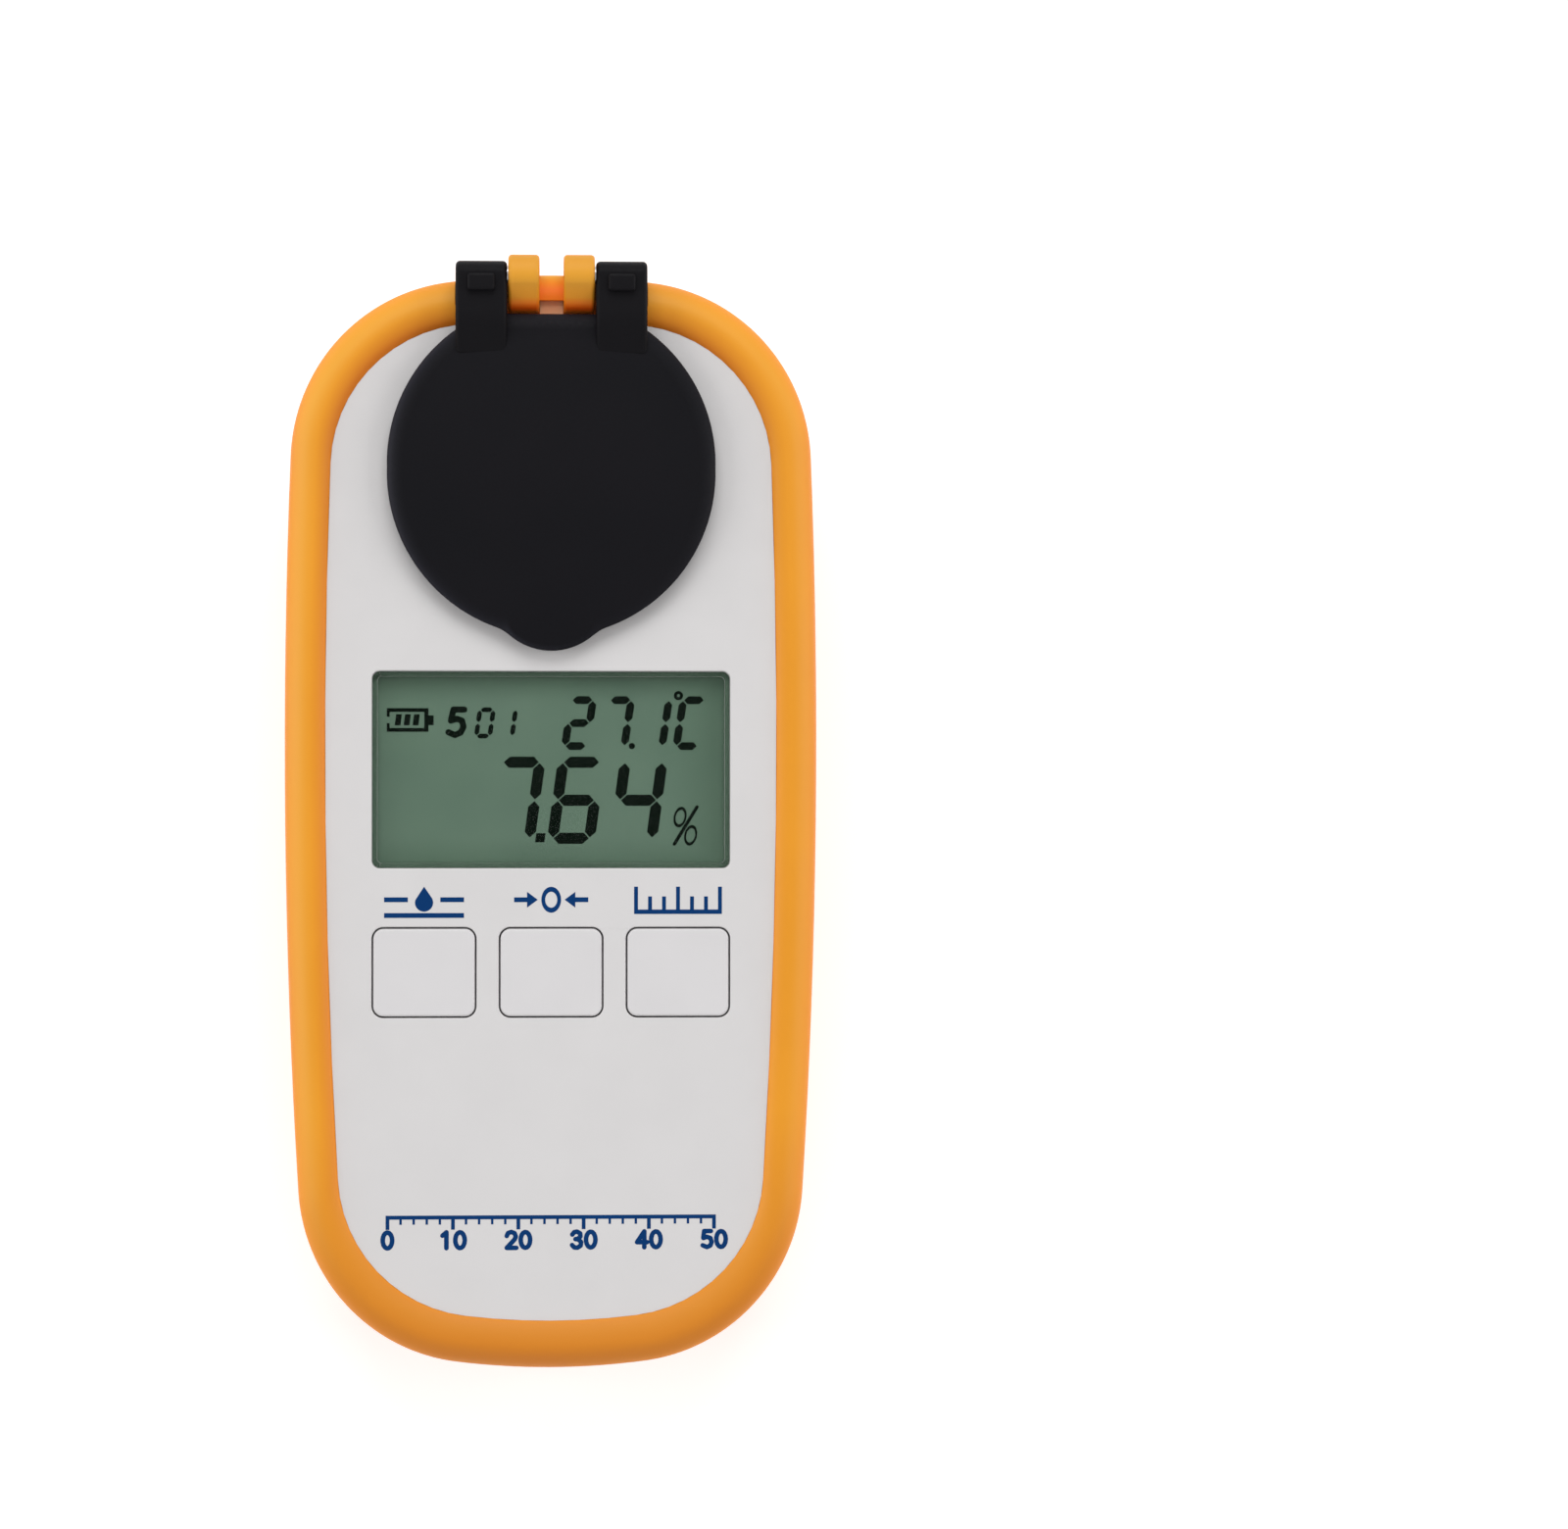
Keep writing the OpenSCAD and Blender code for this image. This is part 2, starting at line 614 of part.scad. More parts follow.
module dish_seal() {
    color(black) translate([0, dish_y, seat_z - seal_d/2 - 0.02])
        rotate_extrude($fn = 96) translate([neck_r + seal_d/2, 0]) circle(seal_d/2 - 0.03, $fn = 48);
}
module prism_profile() {
    polygon([[-prism[1]/2, 0], [prism[1]/2, 0], [prism[1]/2, -1.4],
             [1.4, -prism[2]], [-1.4, -prism[2]], [-prism[1]/2, -1.4]]);
}
module prism() {
    color([0.75, 0.85, 0.9]) translate([0, dish_y, prism_z])
        across(-prism[0]/2, prism[0]/2) prism_profile();
}
module prism_gasket() {
    color(black) translate([0, dish_y, neck_z + 0.3]) difference() {
        cylinder(r = eye_r - 0.02, h = prism_z - neck_z - 0.3, $fn = 96);
        translate([-prism[0]/2 - 0.02, -prism[1]/2 - 0.02, -cut])
            cube([prism[0] + 0.04, prism[1] + 0.04, 9]);
    }
}
function optics_screw_at() = [for (x = [-1, 1], y = [-1, 1])
    [x*optics_screw_r*cos(40.5), dish_y + y*optics_screw_r*sin(40.5)]];
module ray(s, r, a, b) {
    translate([0, dish_y, path_z]) rotate([s*135, 0, 0]) translate([0, 0, a])
        cylinder(r = r, h = b - a, $fn = 48);
}
module optics_block() {
    h = block_half[1];
    t = block_top - block_low;
    color(black) difference() {
        union() {
            translate([0, dish_y, block_low]) across(-block_half[0], block_half[0])
                polygon([[-h, t], [-h, block_cut], [block_cut - h, 0], [h - block_cut, 0],
                         [h, block_cut], [h, t]]);
            for (p = optics_screw_at()) hull() {
                translate([p[0], p[1], block_top - 2]) cylinder(r = 2.2, h = 2, $fn = 32);
                translate([p[0]*0.75, p[1], block_top - 2]) cylinder(r = 2.2, h = 2, $fn = 32);
            }
        }
        translate([0, dish_y, prism_z]) across(-prism[0]/2 - 0.05, prism[0]/2 + 0.05)
            union() {
                prism_profile();
                translate([-prism[1]/2, -1.4]) square([prism[1], 5]);
            }
        for (s = [-1, 1]) ray(s, path_r, 0, 40);
        translate([bead_x, dish_y, block_top - 2.2]) cylinder(r = 1.3, h = 5, $fn = 32);
        ray(1, lens_r + 0.05, ray_l - 3, 40);
        ray(-1, led_r + 0.4, ray_l - 3.4, 40);
        for (p = optics_screw_at()) translate([p[0], p[1], 0]) cylinder(r = 1.0, h = 40, $fn = 32);
    }
}
module optics_screws() {
    color(steel) for (p = optics_screw_at()) translate([p[0], p[1], block_top - 3]) {
        cylinder(r = 1.6, h = 1, $fn = 32);
        cylinder(r = 0.8, h = 4.4, $fn = 32);
    }
}
// Seat of a small board on one of the block's two slanted faces, out along the ray
module on_face(s, out) {
    translate([0, dish_y, block_low]) translate([0, -s*(block_half[1] - block_cut/2), block_cut/2])
        rotate([s*135, 0, 0]) translate([0, 0, out]) children();
}
module lens() {
    color([0.8, 0.88, 0.92]) intersection() {
        ray(1, lens_r, ray_l - 3, ray_l - 1.4);
        translate([0, dish_y, path_z]) rotate([135, 0, 0]) translate([0, 0, ray_l - 3 + 6.5])
            sphere(r = 6.5, $fn = 96);
    }
}
module led() {
    color([0.95, 0.7, 0.2]) {
        ray(-1, led_r, ray_l - 2.5, ray_l);
        ray(-1, led_r + 0.35, ray_l - 0.8, ray_l);
        translate([0, dish_y, path_z]) rotate([-135, 0, 0]) translate([0, 0, ray_l - 2.5])
            sphere(r = led_r, $fn = 48);
    }
}
module led_board() {
    color(green) on_face(-1, 0) translate([-5, -3.6, 0]) cube([10, 7.2, 1]);
}
module sensor_board() {
    color(green) on_face(1, 0) translate([-8, -4.0, 0]) cube([16, 8, 1]);
}
module line_sensor() {
    color(black) on_face(1, 1) translate([-5, -1.6, 0]) cube([10, 3.2, 1.2]);
}
module thermistor() {
    color([0.2, 0.2, 0.25])
        translate([bead_x, dish_y, neck_z - 0.05 - 1]) sphere(r = 1.0, $fn = 32);
}
module sensor_cable() {
    y0 = dish_y - block_half[1] + block_cut/2;
    z0 = block_low + block_cut/2;
    y1 = board_y + board_half[1] - 3.4;
    z1 = board_z - 1.2;
    t = 0.3;
    color([0.75, 0.6, 0.35]) across(-4, 4)
        polygon([[y0 - 3.3, z0 + 1.9], [y0 - 3.6, z0 + 1.6], [y0 - 4.2, z0 + 2.2],
                 [y0 - 4.2, z1 + 0.1], [y1, z1 + 0.1], [y1, z1 + 0.1 + t],
                 [y0 - 4.2 + t, z1 + 0.1 + t], [y0 - 4.2 + t, z0 + 2.4]]);
}

// ---- lid ----
module lid_outline() {
    y = dish_y;
    intersection() {
        union() {
            for (s = [-0.5, 0.5]) translate([0, y + s]) circle(lid_r, $fn = 128);
            translate([-lid_r + 0.01, y - 0.5]) square([2*lid_r - 0.02, 1]);
            translate([0, y - lid_r + 4.9]) circle(6.9, $fn = 96);
        }
        translate([-30, y - 30]) square([60, 30 + lid_flat - y]);
    }
}
module arm_profile() {
    h = hinge_yz();
    difference() {
        union() {
            translate(h) circle(head_r, $fn = 96);
            polygon([h + [0, -head_r], h + [0, head_r], h + [-4.7, head_r],
                     [h[0] - 6.7, lid_top + 0.05], [h[0] - 8.7, lid_top - 0.6],
                     [h[0] - 8.7, lid_z + 0.6], [h[0] - 4.2, lid_z], [h[0] - 2.4, lid_z]]);
            polygon([h, h + [1.75, -0.6], h + [0.15, -heel_r], h + [-3.2, lid_z - h[1]]]);
        }
    }
}
module lid() {
    color(black) difference() {
        union() {
            intersection() {
                translate([0, 0, lid_z]) linear_extrude(lid_t + 1) lid_outline();
                translate([0, dish_y + 2, lid_top - dome_r]) rotate([90, 0, 0])
                    sphere(r = dome_r, $fn = 256);
            }
            both() across(arm_in, arm_out) arm_profile();
            both() translate([arm_in + arm_w/2 - 1.45, hinge[1] - 2, hinge[2] + head_r - 0.4])
                cube([2.9, 1.8, 1.25]);
        }
        translate([0, dish_y, lid_z - cut]) cylinder(r = lid_r - 3.2, h = 1.3 + cut, $fn = 128);
        both() cross_rod(hinge, pin_d/2 + pin_clear, arm_in - 1, arm_out - pin_cover);
    }
}
module hinge_pins() {
    color(steel) both()
        cross_rod(hinge, pin_d/2, lug_in + pin_cover, arm_out - pin_cover - 0.1);
}

boot();
front_shell();
back_shell();
case_seal();
case_screws();
battery_door();
battery_pad();
lid();
hinge_pins();
lcd_window();
window_tape();
lcd_frame();
lcd_panel();
zebra_strips();
key_left();
key_middle();
key_right();
plunger_left();
plunger_middle();
plunger_right();
switch_housings();
main_board();
board_screws();
microcontroller();
board_parts();
cable_socket();
sample_dish();
dish_seal();
prism();
prism_gasket();
optics_block();
optics_screws();
lens();
led();
led_board();
sensor_board();
line_sensor();
thermistor();
sensor_cable();
battery();
spring_contact();
plate_contact();
lead_red();
lead_black();
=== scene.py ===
"""Looks for the handheld digital refractometer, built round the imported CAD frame.

Lengths of the object are millimetres in the frame's axes: +Z out of the front panel, +Y towards
the lid hinge. Meshes are made in millimetres and scaled to metres when a piece is finished. The
floor, the lamps and the camera are placed in metres.
"""
import json
import math
from collections import namedtuple

import bmesh
import bpy
from mathutils import Matrix, Vector


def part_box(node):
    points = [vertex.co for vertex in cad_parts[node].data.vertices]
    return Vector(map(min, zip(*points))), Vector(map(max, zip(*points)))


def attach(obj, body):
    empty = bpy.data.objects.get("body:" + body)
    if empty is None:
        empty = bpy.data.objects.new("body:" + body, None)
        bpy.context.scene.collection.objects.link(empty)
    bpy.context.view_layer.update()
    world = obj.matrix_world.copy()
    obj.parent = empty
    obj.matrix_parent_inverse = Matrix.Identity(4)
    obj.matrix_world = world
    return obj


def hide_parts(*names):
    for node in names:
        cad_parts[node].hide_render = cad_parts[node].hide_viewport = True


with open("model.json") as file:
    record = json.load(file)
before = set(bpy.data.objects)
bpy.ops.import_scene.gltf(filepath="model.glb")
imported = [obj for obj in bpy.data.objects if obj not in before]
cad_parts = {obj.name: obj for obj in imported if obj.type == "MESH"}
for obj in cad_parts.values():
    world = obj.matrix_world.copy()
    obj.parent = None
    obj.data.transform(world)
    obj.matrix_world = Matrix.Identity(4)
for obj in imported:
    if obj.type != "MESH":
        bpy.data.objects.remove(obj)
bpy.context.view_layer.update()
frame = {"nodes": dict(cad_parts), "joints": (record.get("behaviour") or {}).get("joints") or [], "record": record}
CAD = frame["nodes"]
MM = 0.001
Point = namedtuple("Point", "x y z")


def in_mm(place):
    """A place in metres as a point in millimetres, to a hundredth."""
    return Point(*(round(c / MM, 2) for c in place))


class Span:
    """Where a CAD node lies at rest, in millimetres."""

    def __init__(self, node):
        low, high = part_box(node)
        self.low, self.high = in_mm(low), in_mm(high)
        self.middle, self.half = in_mm((low + high) / 2), in_mm((high - low) / 2)


# ---- places read from the frame ----
FRONT, BOWL, COVER = Span("front_shell"), Span("sample_dish"), Span("lid")
WINDOW, DOOR = Span("lcd_window"), Span("battery_door")
BACK, SPLIT_Z, PANEL, CREST = DOOR.low.z, FRONT.low.z, FRONT.high.z, BOWL.high.z
DISH_Y, LID_R, WINDOW_Y = BOWL.middle.y, COVER.half.x, WINDOW.middle.y
LCD_TOP = Span("lcd_panel").high.z
KEY_TAGS = ("left", "middle", "right")
KEY_Y, KEY_X = Span("key_middle").middle.y, [Span("key_" + t).middle.x for t in KEY_TAGS]
hinge = next(joint for joint in frame["joints"] if joint["name"] == "lid_hinge")
HINGE_Y, HINGE_Z = in_mm(hinge["pos_m"])[1:]

# ---- sizes shared with the part, and what follows from them ----
BODY_W, TOP, BOTTOM = 58.4, HINGE_Y + 0.9, -60.3
LIP_Z = CREST - 2.4
SIDE_R, CROWN_R, CORNER_R, WIDEST_Y = 800.0, 80.0, 20.0, 8.4
BULGE_R, BULGE_Z = 90.0, 14.5
FRONT_ROUND, BACK_ROUND = 2.4, 5.5
EASE_H, EASE_L = 13.0, 11.5
RIM_W, BOOT_SIDE, BOOT_BACK = 4.8, 2.8, 2.0
OPEN_TOP, OPEN_LOW, OPEN_R = TOP - RIM_W - 0.6, BOTTOM + RIM_W + 0.9, 20.5
LUG_IN, LUG_OUT = 1.3, 4.65
ARM_IN, ARM_OUT, HEAD_R, KNUCKLE_R, RECESS_R = 4.78, 10.3, 1.85, 2.1, 3.65
NOTCH_Y = TOP - 3.5
LID_Z, LID_TOP, LID_FLAT = CREST + 0.2, CREST + 2.9, HINGE_Y - 4.2
DOME_R, DOME_Y = 140.0, 39.4
POCKET_R, POCKET_Z = 14.6, LID_Z + 1.3
TAB_Y, TAB_R = 24.6, 6.9
DOOR_GAP = 0.25
FEET = [(x, y) for x in (-20.0, 20.0) for y in (36.5, -39.3)]


# ---- materials ----
WHITE = (219, 217, 217)
# bump heights: moulded grain and the boot's skin; and how far the mould line strays
FLECK, SKIN_RELIEF, WANDER = 0.04, 0.05, 0.25


def linear(rgb):
    """sRGB bytes as linear values."""
    return [(c / 3294.6 if c <= 10.3 else ((c / 255 + 0.055) / 1.055) ** 2.4) for c in rgb]


def srgb(*rgb):
    """sRGB bytes as a linear colour with alpha, for a mix socket."""
    return (*linear(rgb), 1)


class Graph:
    """A short way to make shader nodes."""

    def __init__(self, name):
        self.material = bpy.data.materials.new(name)
        self.material.use_nodes = True
        self.tree = self.material.node_tree
        self.tree.nodes.clear()
        self.output = self.add("ShaderNodeOutputMaterial")
        coordinates = self.add("ShaderNodeTexCoord").outputs
        self.place, self.normal = coordinates["Object"], coordinates["Normal"]

    def add(self, kind, inputs=(), **props):
        node = self.tree.nodes.new(kind)
        for key, value in props.items():
            setattr(node, key, value)
        for key, value in dict(inputs).items():
            self.feed(node.inputs[key], value)
        return node

    def feed(self, socket, value):
        if isinstance(value, bpy.types.NodeSocket):
            self.tree.links.new(value, socket)
        else:
            socket.default_value = value

    def split(self, vector):
        """The X, Y and Z of a vector."""
        return self.add("ShaderNodeSeparateXYZ", {"Vector": vector}).outputs

    def noise(self, scale, detail, stretch=None):
        place = self.place
        if stretch:
            place = self.add("ShaderNodeMapping", {"Vector": place, "Scale": stretch}).outputs[0]
        return self.add("ShaderNodeTexNoise",
                        {"Vector": place, "Scale": scale, "Detail": detail}).outputs["Fac"]

    def remap(self, value, low, high, to_low, to_high):
        return self.add("ShaderNodeMapRange", {"Value": value, "From Min": low, "From Max": high,
                                               "To Min": to_low, "To Max": to_high}).outputs[0]

    def over(self, place, start, stop, to_start=0, to_stop=1):
        """A blend along a stretch between two places in millimetres."""
        return self.remap(place, start * MM, stop * MM, to_start, to_stop)

    def ramp(self, factor, stops):
        node = self.add("ShaderNodeValToRGB", {"Fac": factor})
        points = node.color_ramp.elements
        while len(points) < len(stops):
            points.new(0.5)
        for point, (place, rgb) in zip(points, stops):
            point.position = place
            point.color = (*rgb, 1)
        return node.outputs["Color"]

    def mottle(self, factor, dark, pale):
        """A blend of two sRGB colours that follows a noise."""
        return self.ramp(factor, [(0.3, linear(dark)), (0.7, linear(pale))])

    def mix(self, factor, a, b):
        node = self.add("ShaderNodeMix", data_type="RGBA")
        for index, value in ((0, factor), (6, a), (7, b)):
            self.feed(node.inputs[index], value)
        return node.outputs[2]

    def math(self, operation, a, b=0.0):
        return self.add("ShaderNodeMath", {0: a, 1: b}, operation=operation).outputs[0]

    def times(self, first, *others):
        """The product of any number of values."""
        for other in others:
            first = self.math("MULTIPLY", first, other)
        return first

    def bump(self, height, strength, distance):
        return self.add("ShaderNodeBump", {"Height": height, "Strength": strength,
                                           "Distance": distance * MM}).outputs[0]

    def surface(self, **sockets):
        shader = self.add("ShaderNodeBsdfPrincipled")
        for key, value in sockets.items():
            self.feed(shader.inputs[key.replace("_", " ")], value)
        self.feed(self.output.inputs["Surface"], shader.outputs[0])
        return self.material


def moulded(name, rgb, rough, spread, metal=0.0, grain=700.0, relief=0.12, stretch=None,
            specular=0.4):
    """Moulded or machined stuff: a fine mottle in colour and roughness over a fine bump."""
    g = Graph(name)
    base = linear(rgb)
    mottle = g.noise(grain * 0.25, 3, stretch)
    fine = g.noise(grain * 4, 2, stretch)
    colour = g.ramp(mottle, [(0.3, [c * (1 - spread) for c in base]),
                             (0.7, [min(1, c * (1 + spread)) for c in base])])
    return g.surface(Base_Color=colour, Metallic=metal, Specular_IOR_Level=specular,
                     Roughness=g.remap(fine, 0.3, 0.7, rough - 0.05, rough + 0.05),
                     Normal=g.bump(fine, relief, FLECK))


def boot_side(g, cloud):
    """The deeper orange of the boot's walls; the yellower tone of the upward faces beside it is a painted sheen.
    """
    return g.mottle(cloud, (243, 143, 22), (250, 152, 27))


def boot_lit_and_shaded_material():
    """Satin orange rubber with painted light and shade: a painted sheen yellows the top, painted shade deepens it
    where the rim turns from the hinge end, at the foot end and at the lugs' feet, painted highlights lift slopes
    facing the hinge end and a faint mould line, and painted light and shade cross the web between the lugs."""
    g = Graph("boot_rubber")
    place, facing = g.split(g.place), g.split(g.normal)
    up = facing["Z"]
    from_middle = g.math("ABSOLUTE", place["X"])
    cloud = g.noise(45, 3)

    # rim: painted shade on slopes that face the foot end and, mostly on the left, the middle; painted highlight on
    # slopes that face the hinge end or outward; painted shade makes the foot end browner
    sideways = g.times(facing["X"], g.over(place["X"], -10, 10, 0.6, -0.1))
    down = g.math("MAXIMUM", g.times(facing["Y"], -1.0), -0.2)
    turned = g.math("ADD", sideways, down)
    lower = g.over(place["Y"], -32, -56)
    painted_slope_shade = g.times(g.remap(turned, 0.0, 0.6, 0, 0.8), g.remap(lower, 0, 1, 1, 0.3))
    # painted sheen: the upward faces' paler, yellower orange
    top = g.mottle(cloud, (233, 151, 28), (240, 158, 33))
    # painted shade: deep orange on the shaded slopes, less at the foot end
    top = g.mix(painted_slope_shade, top, srgb(214, 104, 10))
    # painted highlight: paler orange on slopes facing the hinge end or outward
    top = g.mix(g.remap(turned, 0.0, -0.6, 0, 0.6), top, srgb(242, 180, 66))
    # painted shade: the upward faces turn browner towards the foot end
    top = g.mix(g.times(lower, 0.5), top, srgb(196, 102, 24))
    # blend from the walls' orange to the painted-sheen orange of the upward faces
    colour = g.mix(g.remap(up, 0.25, 0.9, 0, 1), boot_side(g, cloud), top)

    # mould line: it wanders a little about the widest height; it is bumped, and its paler colour is a painted
    # highlight along the ridge
    wander = g.remap(g.noise(25, 1), 0, 1, -WANDER * MM, WANDER * MM)
    off = g.math("SUBTRACT", g.math("ADD", place["Z"], wander), BULGE_Z * MM)
    line = g.over(g.math("ABSOLUTE", off), 0.06, 0.22, 1, 0)
    # painted highlight along the mould line
    colour = g.mix(g.times(line, 0.22), colour, srgb(255, 190, 100))

    # hinge end: painted shade, a deep orange under the lugs' feet, and painted light and shade across the web
    # between them
    upper = g.over(place["Y"], 50, 52)
    above = g.over(place["Z"], 23.5, 24.5)
    deep = g.times(g.over(from_middle, LUG_OUT, LUG_OUT + 0.2, 1, 0),
                   g.over(place["Y"], LID_FLAT + 0.4, HINGE_Y, 1, 0),
                   g.over(place["Z"], 26.8, 29.6, 1, 0), upper, above)
    # painted shade under the lugs' feet
    colour = g.mix(g.times(deep, 0.9), colour, srgb(232, 98, 2))
    web = g.times(g.over(from_middle, LUG_IN - 0.1, LUG_IN, 1, 0), upper, above)
    # painted light and shade on the web: paler towards the hinge end, deeper orange lower down
    web_painted_light_and_shade = g.mix(g.over(place["Y"], 58.4, 56.8), srgb(240, 176, 8), srgb(255, 138, 0))
    colour = g.mix(web, colour, web_painted_light_and_shade)

    height = g.math("ADD", g.times(g.noise(2600, 2), 0.4), line)
    return g.surface(Base_Color=colour, Specular_IOR_Level=g.remap(up, 0, 0.6, 0.1, 0.35),
                     Roughness=g.remap(cloud, 0.3, 0.7, 0.5, 0.58),
                     Normal=g.bump(height, 0.25, SKIN_RELIEF))


def lug_lit_and_shaded_material():
    """The boot's rubber on the two lugs, with painted light and shade: a painted highlight makes the knuckle
    yellower, painted light brightens the front slope, and painted shade makes the foot deep orange and dulls the
    knuckle beyond the hinge axis.
    """
    g = Graph("lug_rubber_lit_and_shaded")
    place, up = g.split(g.place), g.split(g.normal)["Z"]
    cloud = g.noise(45, 3)
    above = g.over(place["Z"], 24.5, 26.5)
    # painted light: a brighter orange down the front slope
    painted_slope_light = g.times(g.over(place["Y"], 57.3, 55.6, 0, 0.6), above)
    # painted shade: deep orange at the lugs' feet
    deep = g.times(g.over(place["Y"], 55.7, 54.6, 0, 0.95), above)
    # painted shade: duller beyond the hinge axis
    painted_knuckle_shade = g.over(place["Y"], HINGE_Y, 59.8, 0, 0.4)
    # painted highlight: the knuckle's paler, yellower orange
    colour = g.mottle(cloud, (228, 158, 44), (234, 164, 50))
    colour = g.mix(painted_slope_light, colour, srgb(255, 158, 30))
    colour = g.mix(deep, colour, srgb(255, 92, 0))
    colour = g.mix(painted_knuckle_shade, colour, srgb(212, 146, 48))
    colour = g.mix(g.remap(up, 0.1, 0.5, 0, 1), boot_side(g, cloud), colour)
    return g.surface(Base_Color=colour, Specular_IOR_Level=0.3,
                     Roughness=g.remap(cloud, 0.3, 0.7, 0.5, 0.58),
                     Normal=g.bump(g.noise(2600, 2), 0.1, SKIN_RELIEF))


def dome_painted_sheen_material():
    """Black rubber of the lid's disc, with a painted sheen: paler where its edge falls away, most on the left."""
    g = Graph("lid_dome")
    facing = g.split(g.normal)
    cloud = g.noise(60, 3)
    fine = g.noise(2800, 2)
    body = g.mottle(cloud, (12, 12, 16), (16, 15, 19))
    falling = g.remap(facing["Z"], 0.985, 0.8, 0, 1)
    left = g.remap(facing["X"], 0.2, -0.5, 0.25, 1)
    # painted sheen on the falling edge band, strongest on the left
    colour = g.mix(g.times(falling, left), body, srgb(35, 35, 42))
    return g.surface(Base_Color=colour, Specular_IOR_Level=0.08,
                     Roughness=g.remap(fine, 0.3, 0.7, 0.5, 0.6),
                     Normal=g.bump(fine, 0.2, FLECK))


def panel_material():
    """The shell's white, with a painted orange bounce light where the boot's rim opens between the lugs and shows
    it.
    """
    g = Graph("panel_white")
    place, fine = g.split(g.place), g.noise(2800, 2)
    colour = g.ramp(g.noise(175, 3), [(0.3, [c * 0.988 for c in linear(WHITE)]),
                                      (0.7, [c * 1.012 for c in linear(WHITE)])])
    # painted bounce light: the shell turns orange in the gap between the lugs
    painted_bounce = g.times(g.over(place["Y"], 53.2, 53.6),
                    g.over(g.math("ABSOLUTE", place["X"]), 1.4, 2.2, 1, 0))
    colour = g.mix(painted_bounce, colour, srgb(255, 190, 142))
    return g.surface(Base_Color=colour, Specular_IOR_Level=0.35,
                     Roughness=g.remap(fine, 0.3, 0.7, 0.41, 0.51),
                     Normal=g.bump(fine, 0.1, FLECK))


def lcd_material():
    """Grey-green display glass, with painted shade: a little darker towards its top, right and bottom edges, as
    the recess shades it.
    """
    g = Graph("lcd")
    place = g.split(g.place)
    across = g.math("DIVIDE", place["X"], WINDOW.half.x * MM)
    up = g.math("SUBTRACT", place["Y"], WINDOW_Y * MM)
    along = g.math("DIVIDE", g.math("ABSOLUTE", up), WINDOW.half.y * MM)
    edge = g.math("MAXIMUM", across, along)
    cloud = g.noise(120, 2)
    body = g.mottle(cloud, (93, 117, 101), (99, 123, 106))
    # painted shade near the top, right and bottom edges
    colour = g.mix(g.remap(edge, 0.7, 1.0, 0, 0.5), body, srgb(66, 90, 72))
    return g.surface(Base_Color=colour, Roughness=g.remap(cloud, 0, 1, 0.4, 0.5),
                     Specular_IOR_Level=0.2)


def clear_material(name, tint, gloss_rough, ior, strength):
    """Clear glass that light passes straight through, with a Fresnel gloss."""
    g = Graph(name)
    cloud = g.noise(90, 2)
    colour = g.ramp(cloud, [(0.2, tint), (0.8, [min(1, c * 1.02) for c in tint])])
    through = g.add("ShaderNodeBsdfTransparent", {"Color": colour})
    gloss = g.add("ShaderNodeBsdfGlossy",
                  {"Roughness": g.remap(cloud, 0, 1, gloss_rough, gloss_rough + 0.05)})
    fresnel = g.times(g.add("ShaderNodeFresnel", {"IOR": ior}).outputs[0], strength)
    both = g.add("ShaderNodeMixShader",
                 {0: fresnel, 1: through.outputs[0], 2: gloss.outputs[0]})
    g.feed(g.output.inputs["Surface"], both.outputs[0])
    return g.material


def cell_material():
    """Battery wrap: dark sleeve with a copper-coloured band at the button end."""
    g = Graph("cell_wrap")
    y, end = g.split(g.place)["Y"], Span("battery").high.y
    band = g.over(y, end - 12.5, end - 12.4)
    cap = g.over(y, end - 1.3, end - 1.2)
    cloud = g.noise(300, 3)
    sleeve = g.mottle(cloud, (28, 30, 36), (36, 38, 45))
    wrap = g.mix(band, sleeve, srgb(196, 126, 62))
    return g.surface(Base_Color=g.mix(cap, wrap, srgb(190, 192, 196)),
                     Metallic=g.remap(band, 0, 1, 0.1, 0.9),
                     Roughness=g.remap(cloud, 0.3, 0.7, 0.26, 0.34))


